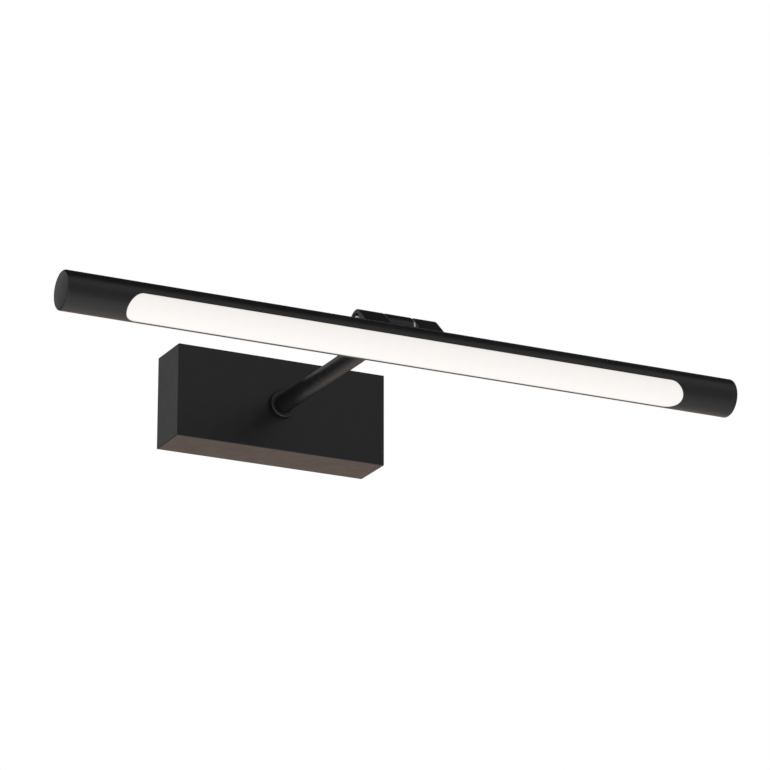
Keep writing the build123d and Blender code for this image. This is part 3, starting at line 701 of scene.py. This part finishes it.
# %% Choosing faces and edges
def pick(obj, kind, test):
    """Enters edit mode with the faces, edges or corners selected that pass the test."""
    take(obj)
    bpy.ops.object.mode_set(mode="EDIT")
    bpy.ops.mesh.select_mode(type=kind)
    bpy.ops.mesh.select_all(action="DESELECT")
    bpy.ops.object.mode_set(mode="OBJECT")
    mesh = obj.data
    if kind == "FACE":
        for face in mesh.polygons:
            face.select = test(face.center, face.normal)
    elif kind == "EDGE":
        for edge in mesh.edges:
            first, second = (mesh.vertices[i].co for i in edge.vertices)
            edge.select = test((first + second) / 2, (second - first).normalized())
    else:
        for corner in mesh.vertices:
            corner.select = test(corner.co, corner.normal)
    bpy.ops.object.mode_set(mode="EDIT")


def leave_edit():
    """Back to object mode."""
    bpy.ops.object.mode_set(mode="OBJECT")


def close_up(obj, gap=0.00001):
    """Merges doubles, then points all faces outwards."""
    take(obj)
    bpy.ops.object.mode_set(mode="EDIT")
    bpy.ops.mesh.select_all(action="SELECT")
    bpy.ops.mesh.remove_doubles(threshold=gap)
    bpy.ops.mesh.normals_make_consistent(inside=False)
    leave_edit()


# %% [markdown]
# Modifiers do the repetitive work: Boolean for holes, Bevel for broken edges, Weighted Normal so
# that flat faces stay flat beside a rounded edge. Each is applied at once, so that the piece is
# plain mesh when it is handed over.

# %% Modifiers
def apply_modifier(obj, kind, **values):
    """Adds a modifier, sets its values and applies it."""
    take(obj)
    modifier = obj.modifiers.new(kind.lower(), kind)
    for label, value in values.items():
        setattr(modifier, label, value)
    bpy.ops.object.modifier_apply(modifier=modifier.name)


def cut(obj, tool, operation="DIFFERENCE"):
    """Boolean with a tool, which is thrown away afterwards."""
    apply_modifier(obj, "BOOLEAN", object=tool, operation=operation, solver="EXACT")
    bpy.data.objects.remove(tool)


def break_edges(obj, width, segments=2, angle=40.0):
    """Rounds every edge that is sharper than the angle."""
    apply_modifier(obj, "BEVEL", width=width, segments=segments, limit_method="ANGLE",
                   angle_limit=math.radians(angle), use_clamp_overlap=True)


def shade(obj, angle=35.0):
    """Smooth shading that keeps sharp corners, weighted so that large faces stay flat."""
    take(obj)
    bpy.ops.object.shade_smooth_by_angle(angle=math.radians(angle))
    apply_modifier(obj, "WEIGHTED_NORMAL", keep_sharp=True, weight=60)


# %% [markdown]
# Round pieces are made as on a lathe. One vertex is extruded from corner to corner to draw half
# of the section, chosen corners are rounded, and the outline is spun round the axis. It gives an
# exact round wall with an even mesh, which a stack of cylinders and booleans would not.

# %% Lathe
TURN_STEPS = 96


def turn(name, axis, outline, across=(0.0, 0.0), steps=TURN_STEPS):
    """Turned piece. The outline is a list of (along, radius) or (along, radius, rounding)."""
    side = (1.0, 0.0) if axis != "X" else (0.0, 1.0)
    corners = []
    for point in outline:
        out_by = (across[0] + side[0] * point[1], across[1] + side[1] * point[1])
        corners.append(on_axis(axis, point[0], out_by))
    bpy.ops.object.select_all(action="DESELECT")
    bpy.ops.mesh.primitive_plane_add(size=1.0, location=corners[0])
    piece = settle(bpy.context.object, name)
    pick(piece, "VERT", lambda place, way: True)
    bpy.ops.mesh.merge(type="CENTER")
    loop = corners[1:] + ([corners[0]] if outline[0][1] > 0 else [])
    here = corners[0]
    for corner in loop:
        bpy.ops.mesh.extrude_region_move(TRANSFORM_OT_translate={"value": corner - here})
        here = corner
    bpy.ops.mesh.select_all(action="SELECT")
    bpy.ops.mesh.remove_doubles(threshold=0.000001)
    leave_edit()
    for corner, point in zip(corners, outline):
        if len(point) > 2:
            pick(piece, "VERT", lambda place, way: (place - corner).length < 0.000001)
            bpy.ops.mesh.bevel(offset=point[2], segments=6, affect="VERTICES")
            leave_edit()
    pick(piece, "VERT", lambda place, way: True)
    bpy.ops.mesh.spin(steps=steps, angle=2 * math.pi, center=on_axis(axis, 0.0, across),
                      axis=on_axis(axis, 1.0), use_auto_merge=True)
    leave_edit()
    close_up(piece)
    return piece


# %% [markdown]
# The head's pieces are drawn level, with the tube's axis on X and the hinge straight above it,
# because sizes are easy to read that way. to_head then turns them to the angle at which the head
# hangs. fit comes last: it gives the piece its finish, its body and the node it stands for.

# %% To the head, and handing over
def to_head(obj):
    """Carries a piece from the level drawing to the head's place at rest."""
    obj.matrix_world = HEAD
    return settle(obj, obj.name)


def twin(obj, name):
    """Copy of a piece with a mesh of its own."""
    other = obj.copy()
    other.data = obj.data.copy()
    bpy.context.collection.objects.link(other)
    other.name = name
    other.data.name = name
    return other


def fit(obj, body, slot, *nodes):
    """Gives the piece its finish and body, and lets it stand for its nodes."""
    obj.data.materials.clear()
    obj.data.materials.append(finishes[slot])
    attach(obj, body)
    if nodes:
        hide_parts(*nodes)
    triangles = sum(len(face.vertices) - 2 for face in obj.data.polygons)
    print(obj.name, "has", triangles, "triangles")


# %% [markdown]
# ## Box cover
# The cover is folded from one sheet of steel and slips over the wall plate. Modelled as a cube
# with its back taken off, its folds rounded by a small bevel and its wall given by Solidify, it
# is the same hollow shell as the real one. Two hooks inside its floor hold it to the plate.

# %% Box cover shell
SHEET = 1.5 * MM
FOLD = 0.6 * MM
box_low, box_high = (Vector(corner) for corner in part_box("housing"))
screw_low, screw_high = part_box("housing_screws")
SCREW_Y = (screw_low[1] + screw_high[1]) / 2
SCREW_R = (screw_high[1] - screw_low[1]) / 2
SCREW_X = screw_high[0] - SCREW_R
cover = add_block("box_cover", box_low, box_high)
pick(cover, "FACE", lambda place, normal: normal.y > 0.9)
bpy.ops.mesh.delete(type="ONLY_FACE")
leave_edit()
pick(cover, "EDGE", lambda place, way: place.y < box_low.y + FOLD or abs(way.y) > 0.9)
bpy.ops.mesh.bevel(offset=FOLD, segments=4, affect="EDGES")
leave_edit()
apply_modifier(cover, "SOLIDIFY", thickness=SHEET, offset=-1.0, use_even_offset=True)
HOOK_HALF, HOOK_TALL = 4 * MM, 4.5 * MM
HOOK_FRONT, HOOK_BACK = -9.4 * MM, -7.9 * MM
for side in (-1, 1):
    hook_low = (side * SCREW_X - HOOK_HALF, HOOK_FRONT, box_low.z + SHEET / 2)
    hook_high = (side * SCREW_X + HOOK_HALF, HOOK_BACK, box_low.z + SHEET + HOOK_TALL)
    cut(cover, add_block("hook", hook_low, hook_high), "UNION")
print("cover", [round(size / MM, 1) for size in cover.dimensions], "mm")

# %% [markdown]
# The holes come after the shell: one in the front for the arm's threaded end, and two on top
# that are countersunk so that the screw heads lie flush.

# %% Box cover holes
SINK_DEPTH = 1.4 * MM
ARM_HOLE_R, SCREW_HOLE_R = 5.1 * MM, 1.6 * MM
cut(cover, add_bar("arm_hole", "Y", ARM_HOLE_R, box_low.y - SHEET, box_low.y + 2 * SHEET))
for side in (-1, 1):
    place = (side * SCREW_X, SCREW_Y)
    hole_low, hole_high = box_high.z - 2 * SHEET, box_high.z + SHEET
    cut(cover, add_bar("screw_hole", "Z", SCREW_HOLE_R, hole_low, hole_high, place, 48))
    sink = [(box_high.z - SINK_DEPTH, 0.0), (box_high.z - SINK_DEPTH, SCREW_HOLE_R),
            (box_high.z + 0.1 * MM, SCREW_R + 0.25 * MM), (box_high.z + 0.1 * MM, 0.0)]
    cut(cover, turn("countersink", "Z", sink, place, 48))
break_edges(cover, 0.1 * MM, angle=50)
shade(cover)
fit(cover, "wall_bracket", "powder_black", "housing")

# %% [markdown]
# The cover screws are turned: a cone for the head and a thin shank. A cross recess is cut into
# the head with two crossed bars. One screw is modelled, and the other is its copy.

# %% Cover screws
top = screw_high[2]
SHANK_R, NECK_R = 1.25 * MM, 1.5 * MM
neck = top - SINK_DEPTH
RECESS, RECESS_LONG, RECESS_DEEP = 0.28 * MM, 1.5 * MM, 0.8 * MM
left_screw = turn("cover_screw_left", "Z",
                  [(screw_low[2], 0.0), (screw_low[2], SHANK_R, 0.3 * MM), (neck, SHANK_R),
                   (neck, NECK_R), (top - 0.1 * MM, SCREW_R, 0.08 * MM),
                   (top, SCREW_R - 0.2 * MM), (top, 0.0)], (-SCREW_X, SCREW_Y), 48)
for long_x, long_y in ((RECESS_LONG, RECESS), (RECESS, RECESS_LONG)):
    bar_low = (-SCREW_X - long_x, SCREW_Y - long_y, top - RECESS_DEEP)
    bar_high = (-SCREW_X + long_x, SCREW_Y + long_y, top + 1.0 * MM)
    cut(left_screw, add_block("recess", bar_low, bar_high))
break_edges(left_screw, 0.05 * MM, 1, 50)
right_screw = twin(left_screw, "cover_screw_right")
right_screw.location.x = 2 * SCREW_X
settle(right_screw, "cover_screw_right")
for screw in (left_screw, right_screw):
    shade(screw)
fit(left_screw, "wall_bracket", "powder_black", "housing_screws")
fit(right_screw, "wall_bracket", "powder_black")

# %% [markdown]
# ## Cable bush
# The mains cable comes out of the wall through a rubber bush that keeps it off the plate's edge.
# It is turned: a flange inside the box, a sleeve in the hole, and a bore with rounded lips.

# %% Cable bush
bush_low, bush_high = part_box("cable_bush")
bush_place = ((bush_low[0] + bush_high[0]) / 2, (bush_low[2] + bush_high[2]) / 2)
BUSH_R = (bush_high[0] - bush_low[0]) / 2
BUSH_SLEEVE_R, BUSH_BORE_R, FLANGE_T = 7.0 * MM, 4.5 * MM, 1.8 * MM
bush = turn("cable_bush_ring", "Y",
            [(bush_low[1], BUSH_BORE_R, 0.7 * MM), (bush_low[1], BUSH_R, 0.7 * MM),
             (bush_low[1] + FLANGE_T, BUSH_R, 0.5 * MM), (bush_low[1] + FLANGE_T, BUSH_SLEEVE_R),
             (bush_high[1], BUSH_SLEEVE_R, 0.3 * MM), (bush_high[1], BUSH_BORE_R, 0.6 * MM)],
            bush_place)
shade(bush)
fit(bush, "wall_bracket", "black_rubber", "cable_bush")

# %% [markdown]
# ## Arm and collar
# The arm is a tube that steps down to a threaded end inside the box, where a nut pulls it tight.
# The collar in front of the box hides the hole. Both are turned, the collar with a well rounded
# rim, which is the only soft highlight on the face of the box.

# %% Collar
collar_low, collar_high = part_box("arm_collar")
arm_low, arm_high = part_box("arm_tube")
ARM_R = (arm_high[0] - arm_low[0]) / 2
COLLAR_R = (collar_high[0] - collar_low[0]) / 2
collar = turn("collar_ring", "Y",
              [(collar_low[1], ARM_R + 0.05 * MM, 0.25 * MM), (collar_low[1], COLLAR_R, 1.2 * MM),
               (collar_high[1], COLLAR_R, 0.12 * MM), (collar_high[1], ARM_R + 0.05 * MM)])
shade(collar)
fit(collar, "wall_bracket", "powder_black", "arm_collar")

# %% [markdown]
# The arm's outline is drawn once round its wall, from the open tip to the threaded end and back
# along the bore. The thread is a row of small grooves: the section goes in and out by half a
# pitch at a time, which is enough for something that sits behind a nut.

# %% Arm
SPIGOT_R, SPIGOT_BORE_R, ARM_BORE_R = 5.0 * MM, 3.6 * MM, 4.7 * MM
THREAD_PITCH, THREAD_DEPTH = 1.0 * MM, 0.3 * MM
NARROW_LONG = 10 * MM
spigot_start, spigot_end = box_low.y, arm_high[1]
thread = []
for groove in range(int((spigot_end - spigot_start) / THREAD_PITCH) - 1):
    ridge = spigot_start + (groove + 1) * THREAD_PITCH
    thread += [(ridge, SPIGOT_R), (ridge + THREAD_PITCH / 2, SPIGOT_R - THREAD_DEPTH)]
arm = turn("arm_bar", "Y",
           [(arm_low[1], ARM_BORE_R), (arm_low[1], ARM_R, 0.3 * MM), (spigot_start, ARM_R),
            (spigot_start, SPIGOT_R), *thread, (spigot_end, SPIGOT_R - THREAD_DEPTH),
            (spigot_end, SPIGOT_BORE_R), (spigot_start - NARROW_LONG, SPIGOT_BORE_R),
            (spigot_start - NARROW_LONG, ARM_BORE_R)])
shade(arm)
fit(arm, "wall_bracket", "powder_black", "arm_tube")

# %% [markdown]
# ## Knuckle
# The middle leaf of the hinge is a barrel on the bolt, with a socket behind it that the arm plugs
# into. A turned barrel and a turned socket are joined with a Boolean, then drilled for the bolt,
# the arm, the lamp lead and the grub screw. The bevel at the end also rounds the inner corner
# where socket and barrel meet, as a casting would be.

# %% Knuckle blank
knuckle_low, knuckle_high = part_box("arm_knuckle")
BARREL_R = hinge.y - knuckle_low[1]
SOCKET_R = 7.3 * MM
hinge_place = (hinge.y, hinge.z)
BARREL_CHAMFER = 0.4 * MM
left_end, right_end = knuckle_low[0], knuckle_high[0]
knuckle = turn("knuckle", "X",
               [(left_end, 0.0), (left_end, BARREL_R - BARREL_CHAMFER),
                (left_end + BARREL_CHAMFER, BARREL_R), (right_end - BARREL_CHAMFER, BARREL_R),
                (right_end, BARREL_R - BARREL_CHAMFER), (right_end, 0.0)], hinge_place)
socket_piece = turn("socket", "Y", [(hinge.y + 1 * MM, 0.0), (hinge.y + 1 * MM, SOCKET_R),
                                    (knuckle_high[1], SOCKET_R, 0.8 * MM), (knuckle_high[1], 0.0)])
cut(knuckle, socket_piece, "UNION")
print("knuckle", [round(size / MM, 1) for size in knuckle.dimensions], "mm")

# %% [markdown]
# Drilling order matters little to a Boolean, but the large bore goes first, so that the small
# holes break into a wall that is already its final thickness.

# %% Knuckle holes
BOLT_R = 2.5 * MM
LEAD_R = 1.3 * MM
grub_low, grub_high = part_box("arm_grub_screw")
grub_place = ((grub_low[0] + grub_high[0]) / 2, (grub_low[1] + grub_high[1]) / 2)
LEAD_PASSAGE_Z = -5.1 * MM
GRUB_HOLE_R = 1.25 * MM
cut(knuckle, add_bar("arm_bore", "Y", ARM_R + 0.02 * MM, arm_low[1], knuckle_high[1] + 1 * MM))
cut(knuckle, add_bar("lead_bore", "Y", ARM_BORE_R, hinge.y + 5 * MM, arm_low[1] + 1 * MM))
cut(knuckle, add_bar("bolt_bore", "X", BOLT_R + 0.06 * MM, left_end - 1 * MM,
                     right_end + 1 * MM, hinge_place))
cut(knuckle, add_bar("lead_way", "Y", LEAD_R + 0.3 * MM, knuckle_low[1] - 1 * MM,
                     arm_low[1] - 0.5 * MM, (0.0, LEAD_PASSAGE_Z), 48))
cut(knuckle, add_bar("grub_hole", "Z", GRUB_HOLE_R, -SOCKET_R - 1 * MM, -ARM_R + 1 * MM,
                     grub_place, 48))
close_up(knuckle)
break_edges(knuckle, 0.15 * MM, angle=42)
shade(knuckle)
fit(knuckle, "wall_bracket", "powder_black", "arm_knuckle")

# %% [markdown]
# ## Hinge ears
# Each ear stands on the tube and holds one end of the hinge bolt. It starts as a block whose top
# is drawn in a little, so that its flanks lean. A round bar on the hinge axis gives the top, and
# the tube itself cuts the saddle. A chamfer runs round both ends.

# %% Ear blank
FOOT_HALF = BARREL_R + 0.35 * MM


def ear_blank(name, start, end):
    """Ear with leaning flanks, a round top, chamfered ends and a saddle for the tube."""
    ear = add_block(name, (start, -FOOT_HALF, TUBE_R / 2), (end, FOOT_HALF, HINGE_UP))
    pick(ear, "FACE", lambda place, normal: normal.z > 0.9)
    bpy.ops.transform.resize(value=(1, BARREL_R / FOOT_HALF, 1), center_override=(0, 0, 0))
    leave_edit()
    cut(ear, add_bar("ear_top", "X", BARREL_R, start, end, (0.0, HINGE_UP), 128), "UNION")
    pick(ear, "FACE", lambda place, normal: True)
    bpy.ops.mesh.dissolve_limited(angle_limit=math.radians(0.5))
    leave_edit()
    apply_modifier(ear, "BEVEL", width=0.4 * MM, segments=1, limit_method="ANGLE",
                   angle_limit=math.radians(60))
    cut(ear, add_bar("saddle", "X", TUBE_R, start - 1 * MM, end + 1 * MM, sides=128))
    return ear


ear_ends = {"left": span("hinge_ear_left", 0), "right": span("hinge_ear_right", 0)}
left_ear = ear_blank("ear_left", *ear_ends["left"])
right_ear = ear_blank("ear_right", *ear_ends["right"])
print("ears from", [round(x / MM, 1) for ends in ear_ends.values() for x in ends], "mm")

# %% [markdown]
# The left ear is counterbored, so that the round head of the bolt sits inside it. The right ear
# has a six-sided pocket instead, which keeps the nut from turning. A six-sided bar stands with
# two corners up and down, so it is turned by half a side before it is laid along X.

# %% Ear pockets
HEAD_POCKET_R, HEAD_POCKET_DEEP = 5.8 * MM, 2.2 * MM
EAR_SCREW_X = {"left": -15.5 * MM, "right": 17.5 * MM}
EAR_SCREW_HOLE_R, EAR_SCREW_HOLE_TOP = 1.5 * MM, 5.5 * MM
NUT_FLATS, NUT_POCKET_DEEP = 8.0 * MM, 5.4 * MM


def hex_bar(name, flats, start, end):
    """Six-sided bar on the hinge axis, in the level drawing."""
    bpy.ops.object.select_all(action="DESELECT")
    bpy.ops.mesh.primitive_cylinder_add(vertices=6, radius=flats / math.sqrt(3), depth=end - start)
    bar = bpy.context.object
    place = Matrix.Translation(((start + end) / 2, 0, HINGE_UP))
    laid_along_x = Matrix.Rotation(math.pi / 2, 4, "Y")
    half_a_side = Matrix.Rotation(math.pi / 6, 4, "Z")
    bar.matrix_world = place @ laid_along_x @ half_a_side
    return settle(bar, name)


left_x, right_x = ear_ends["left"][0], ear_ends["right"][1]
on_hinge = (0.0, HINGE_UP)
cut(left_ear, add_bar("head_pocket", "X", HEAD_POCKET_R, left_x - 1 * MM,
                      left_x + HEAD_POCKET_DEEP, on_hinge))
cut(right_ear, hex_bar("nut_pocket", NUT_FLATS + 0.04 * MM, right_x - NUT_POCKET_DEEP,
                       right_x + 1 * MM))
for side, ear in (("left", left_ear), ("right", right_ear)):
    start, end = ear_ends[side]
    cut(ear, add_bar("bolt_hole", "X", BOLT_R + 0.02 * MM, start - 1 * MM, end + 1 * MM, on_hinge))
    cut(ear, add_bar("screw_hole", "Z", EAR_SCREW_HOLE_R, 0.0, TUBE_R + EAR_SCREW_HOLE_TOP,
                     (EAR_SCREW_X[side], 0.0), 48))
    close_up(ear)
    break_edges(ear, 0.12 * MM, angle=40)
    to_head(ear)
    shade(ear)
    fit(ear, "lamp_head", "powder_black", "hinge_ear_" + side)

# %% [markdown]
# ## Bolt, nut and washers
# The bolt has a low round head with a six-sided socket. It is turned in one outline, and the
# socket is cut with a hex bar. The nut is a hex bar whose corners are taken off by a turned
# blank, which is how a real nut gets its curved chamfers.

# %% Hinge bolt
BOLT_HEAD_R, BOLT_HEAD_T, SOCKET_FLATS = 5.0 * MM, 2.0 * MM, 3.0 * MM
head_x = left_x + HEAD_POCKET_DEEP
tip_x = right_x - 0.4 * MM
face_x = head_x - BOLT_HEAD_T
bolt = turn("bolt", "X",
            [(face_x, 0.0), (face_x, BOLT_HEAD_R, 1.2 * MM), (head_x, BOLT_HEAD_R),
             (head_x, BOLT_R), (tip_x, BOLT_R, 0.5 * MM), (tip_x, 0.0)], on_hinge)
cut(bolt, hex_bar("socket", SOCKET_FLATS, head_x - 4 * MM, head_x - 0.6 * MM))
close_up(bolt)
break_edges(bolt, 0.08 * MM, angle=50)
to_head(bolt)
shade(bolt)
fit(bolt, "lamp_head", "bright_steel", "hinge_bolt")

# %% [markdown]
# The nut lies in the right ear's pocket. The turned blank is a little narrower than the corners
# of the hex bar, so that only the corners lose anything.

# %% Hinge nut
NUT_T, NUT_BELOW, NUT_CORNER_R = 4.8 * MM, 0.6 * MM, NUT_FLATS * 0.575
NUT_CHAMFER = 0.4 * MM
nut_high = right_x - NUT_BELOW
nut_low = nut_high - NUT_T
nut = hex_bar("nut", NUT_FLATS, nut_low, nut_high)
blank = turn("blank", "X",
             [(nut_low, 0.0), (nut_low, NUT_FLATS / 2), (nut_low + NUT_CHAMFER, NUT_CORNER_R),
              (nut_high - NUT_CHAMFER, NUT_CORNER_R), (nut_high, NUT_FLATS / 2), (nut_high, 0.0)],
             on_hinge)
cut(nut, blank, "INTERSECT")
cut(nut, add_bar("nut_bore", "X", BOLT_R + 0.01 * MM, nut_low - 1 * MM, nut_high + 1 * MM,
                 on_hinge))
close_up(nut)
break_edges(nut, 0.06 * MM, 1, 50)
to_head(nut)
shade(nut)
fit(nut, "lamp_head", "zinc_steel", "hinge_nut")

# %% [markdown]
# A bright washer fills each gap between the leaves. It is turned as a ring a little smaller than
# the barrels, so that its rim sits just below theirs and catches the light as a thin line.

# %% Friction washers
for side, inner, outer in (("left", ear_ends["left"][1], knuckle_low[0] - 0.04 * MM),
                           ("right", knuckle_high[0] + 0.04 * MM, ear_ends["right"][0])):
    washer = turn("friction_washer_" + side, "X",
                  [(inner, BOLT_R), (inner, BARREL_R - 0.6 * MM, 0.15 * MM),
                   (outer, BARREL_R - 0.6 * MM, 0.15 * MM), (outer, BOLT_R)], on_hinge)
    to_head(washer)
    shade(washer)
    fit(washer, "lamp_head", "bright_steel", "hinge_washer_" + side)

# %% [markdown]
# ## Lamp tube
# The tube is a drawn tube with a long round-ended window milled into its front. An open cylinder
# gets its wall from Solidify. The milling cutter is a cylinder too: pulled apart at its middle,
# it becomes the round-ended bar that leaves the window.

# %% Milling cutter
def slot_bar(name, length, width, low, high, sides=96):
    """Round-ended bar along Z, long along X."""
    bpy.ops.object.select_all(action="DESELECT")
    bpy.ops.mesh.primitive_cylinder_add(vertices=sides, radius=width / 2, depth=high - low,
                                        location=(0, 0, (low + high) / 2),
                                        rotation=(0, 0, math.pi / sides))
    bar = settle(bpy.context.object, name)
    for way in (-1, 1):
        pick(bar, "VERT", lambda place, normal: place.x * way > 0)
        bpy.ops.transform.translate(value=(way * (length - width) / 2, 0, 0))
        leave_edit()
    return bar


WINDOW_LONG, WINDOW_WIDE = 383.0 * MM, 19.3 * MM
TUBE_WALL = 1.3 * MM
TUBE_BORE = TUBE_R - TUBE_WALL
TUBE_SIDES = 160
GROMMET_HOLE_R = 2.6 * MM
tube = add_bar("head_tube", "X", TUBE_R, -TUBE_END, TUBE_END, sides=TUBE_SIDES, ends="NOTHING")
apply_modifier(tube, "SOLIDIFY", thickness=TUBE_WALL, offset=-1.0, use_even_offset=True,
               use_quality_normals=True)
cut(tube, slot_bar("window", WINDOW_LONG, WINDOW_WIDE, -TUBE_R - 1 * MM, 0.0))
for x in EAR_SCREW_X.values():
    cut(tube, add_bar("ear_screw_hole", "Z", EAR_SCREW_HOLE_R, 0.0, TUBE_R + 1 * MM, (x, 0.0), 48))
cut(tube, add_bar("lead_hole", "Z", GROMMET_HOLE_R, 0.0, TUBE_R + 1 * MM, sides=48))
break_edges(tube, 0.14 * MM, angle=45)
to_head(tube)
shade(tube)
fit(tube, "lamp_head", "powder_black", "lamp_tube")

# %% [markdown]
# Each end is closed by a turned plug: a slightly domed disc with a rounded rim, and a short
# sleeve inside the tube. The dome is what lets light fade across the cap. One is modelled. The
# other is its copy, turned over by scaling X by minus one, after which its faces are pointed
# outwards again.

# %% End caps
CAP_CROWN, CAP_RIM, CAP_SLEEVE, CAP_SLEEVE_WALL = 0.7 * MM, 1.5 * MM, 8.0 * MM, 1.6 * MM
DOME_POINTS = 8
dome_r = (TUBE_R ** 2 + CAP_CROWN ** 2) / (2 * CAP_CROWN)
dome = []
for step in range(DOME_POINTS):
    out_by = TUBE_R * (1 - step / DOME_POINTS) - (CAP_RIM if step == 0 else 0)
    dome.append((LIGHT_END - dome_r + math.sqrt(dome_r ** 2 - out_by ** 2), out_by))
rim_x = LIGHT_END - CAP_CROWN
floor_x, sleeve_x = TUBE_END - 0.5 * MM, TUBE_END - CAP_SLEEVE
sleeve_r = TUBE_BORE - CAP_SLEEVE_WALL
right_cap = turn("cap_right", "X",
                 [(floor_x, 0.0), (floor_x, sleeve_r), (sleeve_x, sleeve_r), (sleeve_x, TUBE_BORE),
                  (TUBE_END, TUBE_BORE), (TUBE_END, TUBE_R, 0.12 * MM),
                  (rim_x, TUBE_R, CAP_RIM * 0.95), *dome, (LIGHT_END, 0.0)], steps=TUBE_SIDES)
left_cap = twin(right_cap, "cap_left")
pick(left_cap, "VERT", lambda place, way: True)
bpy.ops.transform.resize(value=(-1, 1, 1), center_override=(0, 0, 0))
leave_edit()
for cap, name in ((left_cap, "end_cap_left"), (right_cap, "end_cap_right")):
    close_up(cap)
    to_head(cap)
    shade(cap)
    fit(cap, "lamp_head", "powder_black", name)

# %% [markdown]
# ## Opal cover
# The cover is a curved strip that lies against the inside of the tube, with a raised pad that
# fills the window. The pad is the round-ended bar again, cut to the tube's curve, and its rim is
# rounded a little so that a thin shadow line runs round it in the window.

# %% Opal cover
COVER_SINK, COVER_T, COVER_GAP, COVER_PAST = 0.5 * MM, 1.2 * MM, 0.1 * MM, 6.0 * MM
COVER_LEDGE_Z = -4.6 * MM
reach = WINDOW_LONG / 2 + COVER_PAST
past = reach + 1 * MM
opal_cover = slot_bar("opal_cover", WINDOW_LONG - COVER_GAP, WINDOW_WIDE - COVER_GAP, -TUBE_R,
                      COVER_LEDGE_Z)
cut(opal_cover, add_bar("pad_curve", "X", TUBE_R - COVER_SINK, -reach, reach, sides=TUBE_SIDES),
    "INTERSECT")
break_edges(opal_cover, 0.2 * MM, 3, 40)
strip = add_block("strip", (-reach, -TUBE_R, -TUBE_R), (reach, TUBE_R, COVER_LEDGE_Z))
cut(strip, add_bar("strip_curve", "X", TUBE_BORE - 0.01 * MM, -past, past, sides=TUBE_SIDES),
    "INTERSECT")
cut(opal_cover, strip, "UNION")
cut(opal_cover, add_bar("inside", "X", TUBE_BORE - COVER_T, -past, past, sides=TUBE_SIDES))
close_up(opal_cover)
to_head(opal_cover)
shade(opal_cover)
fit(opal_cover, "lamp_head", "opal_diffuser", "diffuser")

# %% [markdown]
# ## Lead grommet
# The lamp lead enters the tube behind the knuckle through a small rubber grommet. Its outer lip
# is turned thick enough for its underside to sink into the curve of the tube.

# %% Lead grommet
GROMMET_TOP = TUBE_R + 0.9 * MM
INNER_LIP_LOW, INNER_LIP_HIGH = TUBE_BORE - 1.0 * MM, TUBE_BORE - 0.4 * MM
OUTER_LIP_LOW = TUBE_R - 0.62 * MM
INNER_LIP_R, NECK_OF_GROMMET_R, OUTER_LIP_R = 3.4 * MM, 2.58 * MM, 3.8 * MM
grommet = turn("lead_grommet", "Z",
               [(INNER_LIP_LOW, LEAD_R, 0.2 * MM), (INNER_LIP_LOW, INNER_LIP_R, 0.3 * MM),
                (INNER_LIP_HIGH, INNER_LIP_R, 0.2 * MM), (INNER_LIP_HIGH, NECK_OF_GROMMET_R),
                (OUTER_LIP_LOW, NECK_OF_GROMMET_R), (OUTER_LIP_LOW, OUTER_LIP_R, 0.25 * MM),
                (GROMMET_TOP, OUTER_LIP_R, 0.6 * MM), (GROMMET_TOP, LEAD_R, 0.3 * MM)], steps=64)
to_head(grommet)
shade(grommet)
fit(grommet, "lamp_head", "black_rubber", "tube_grommet")
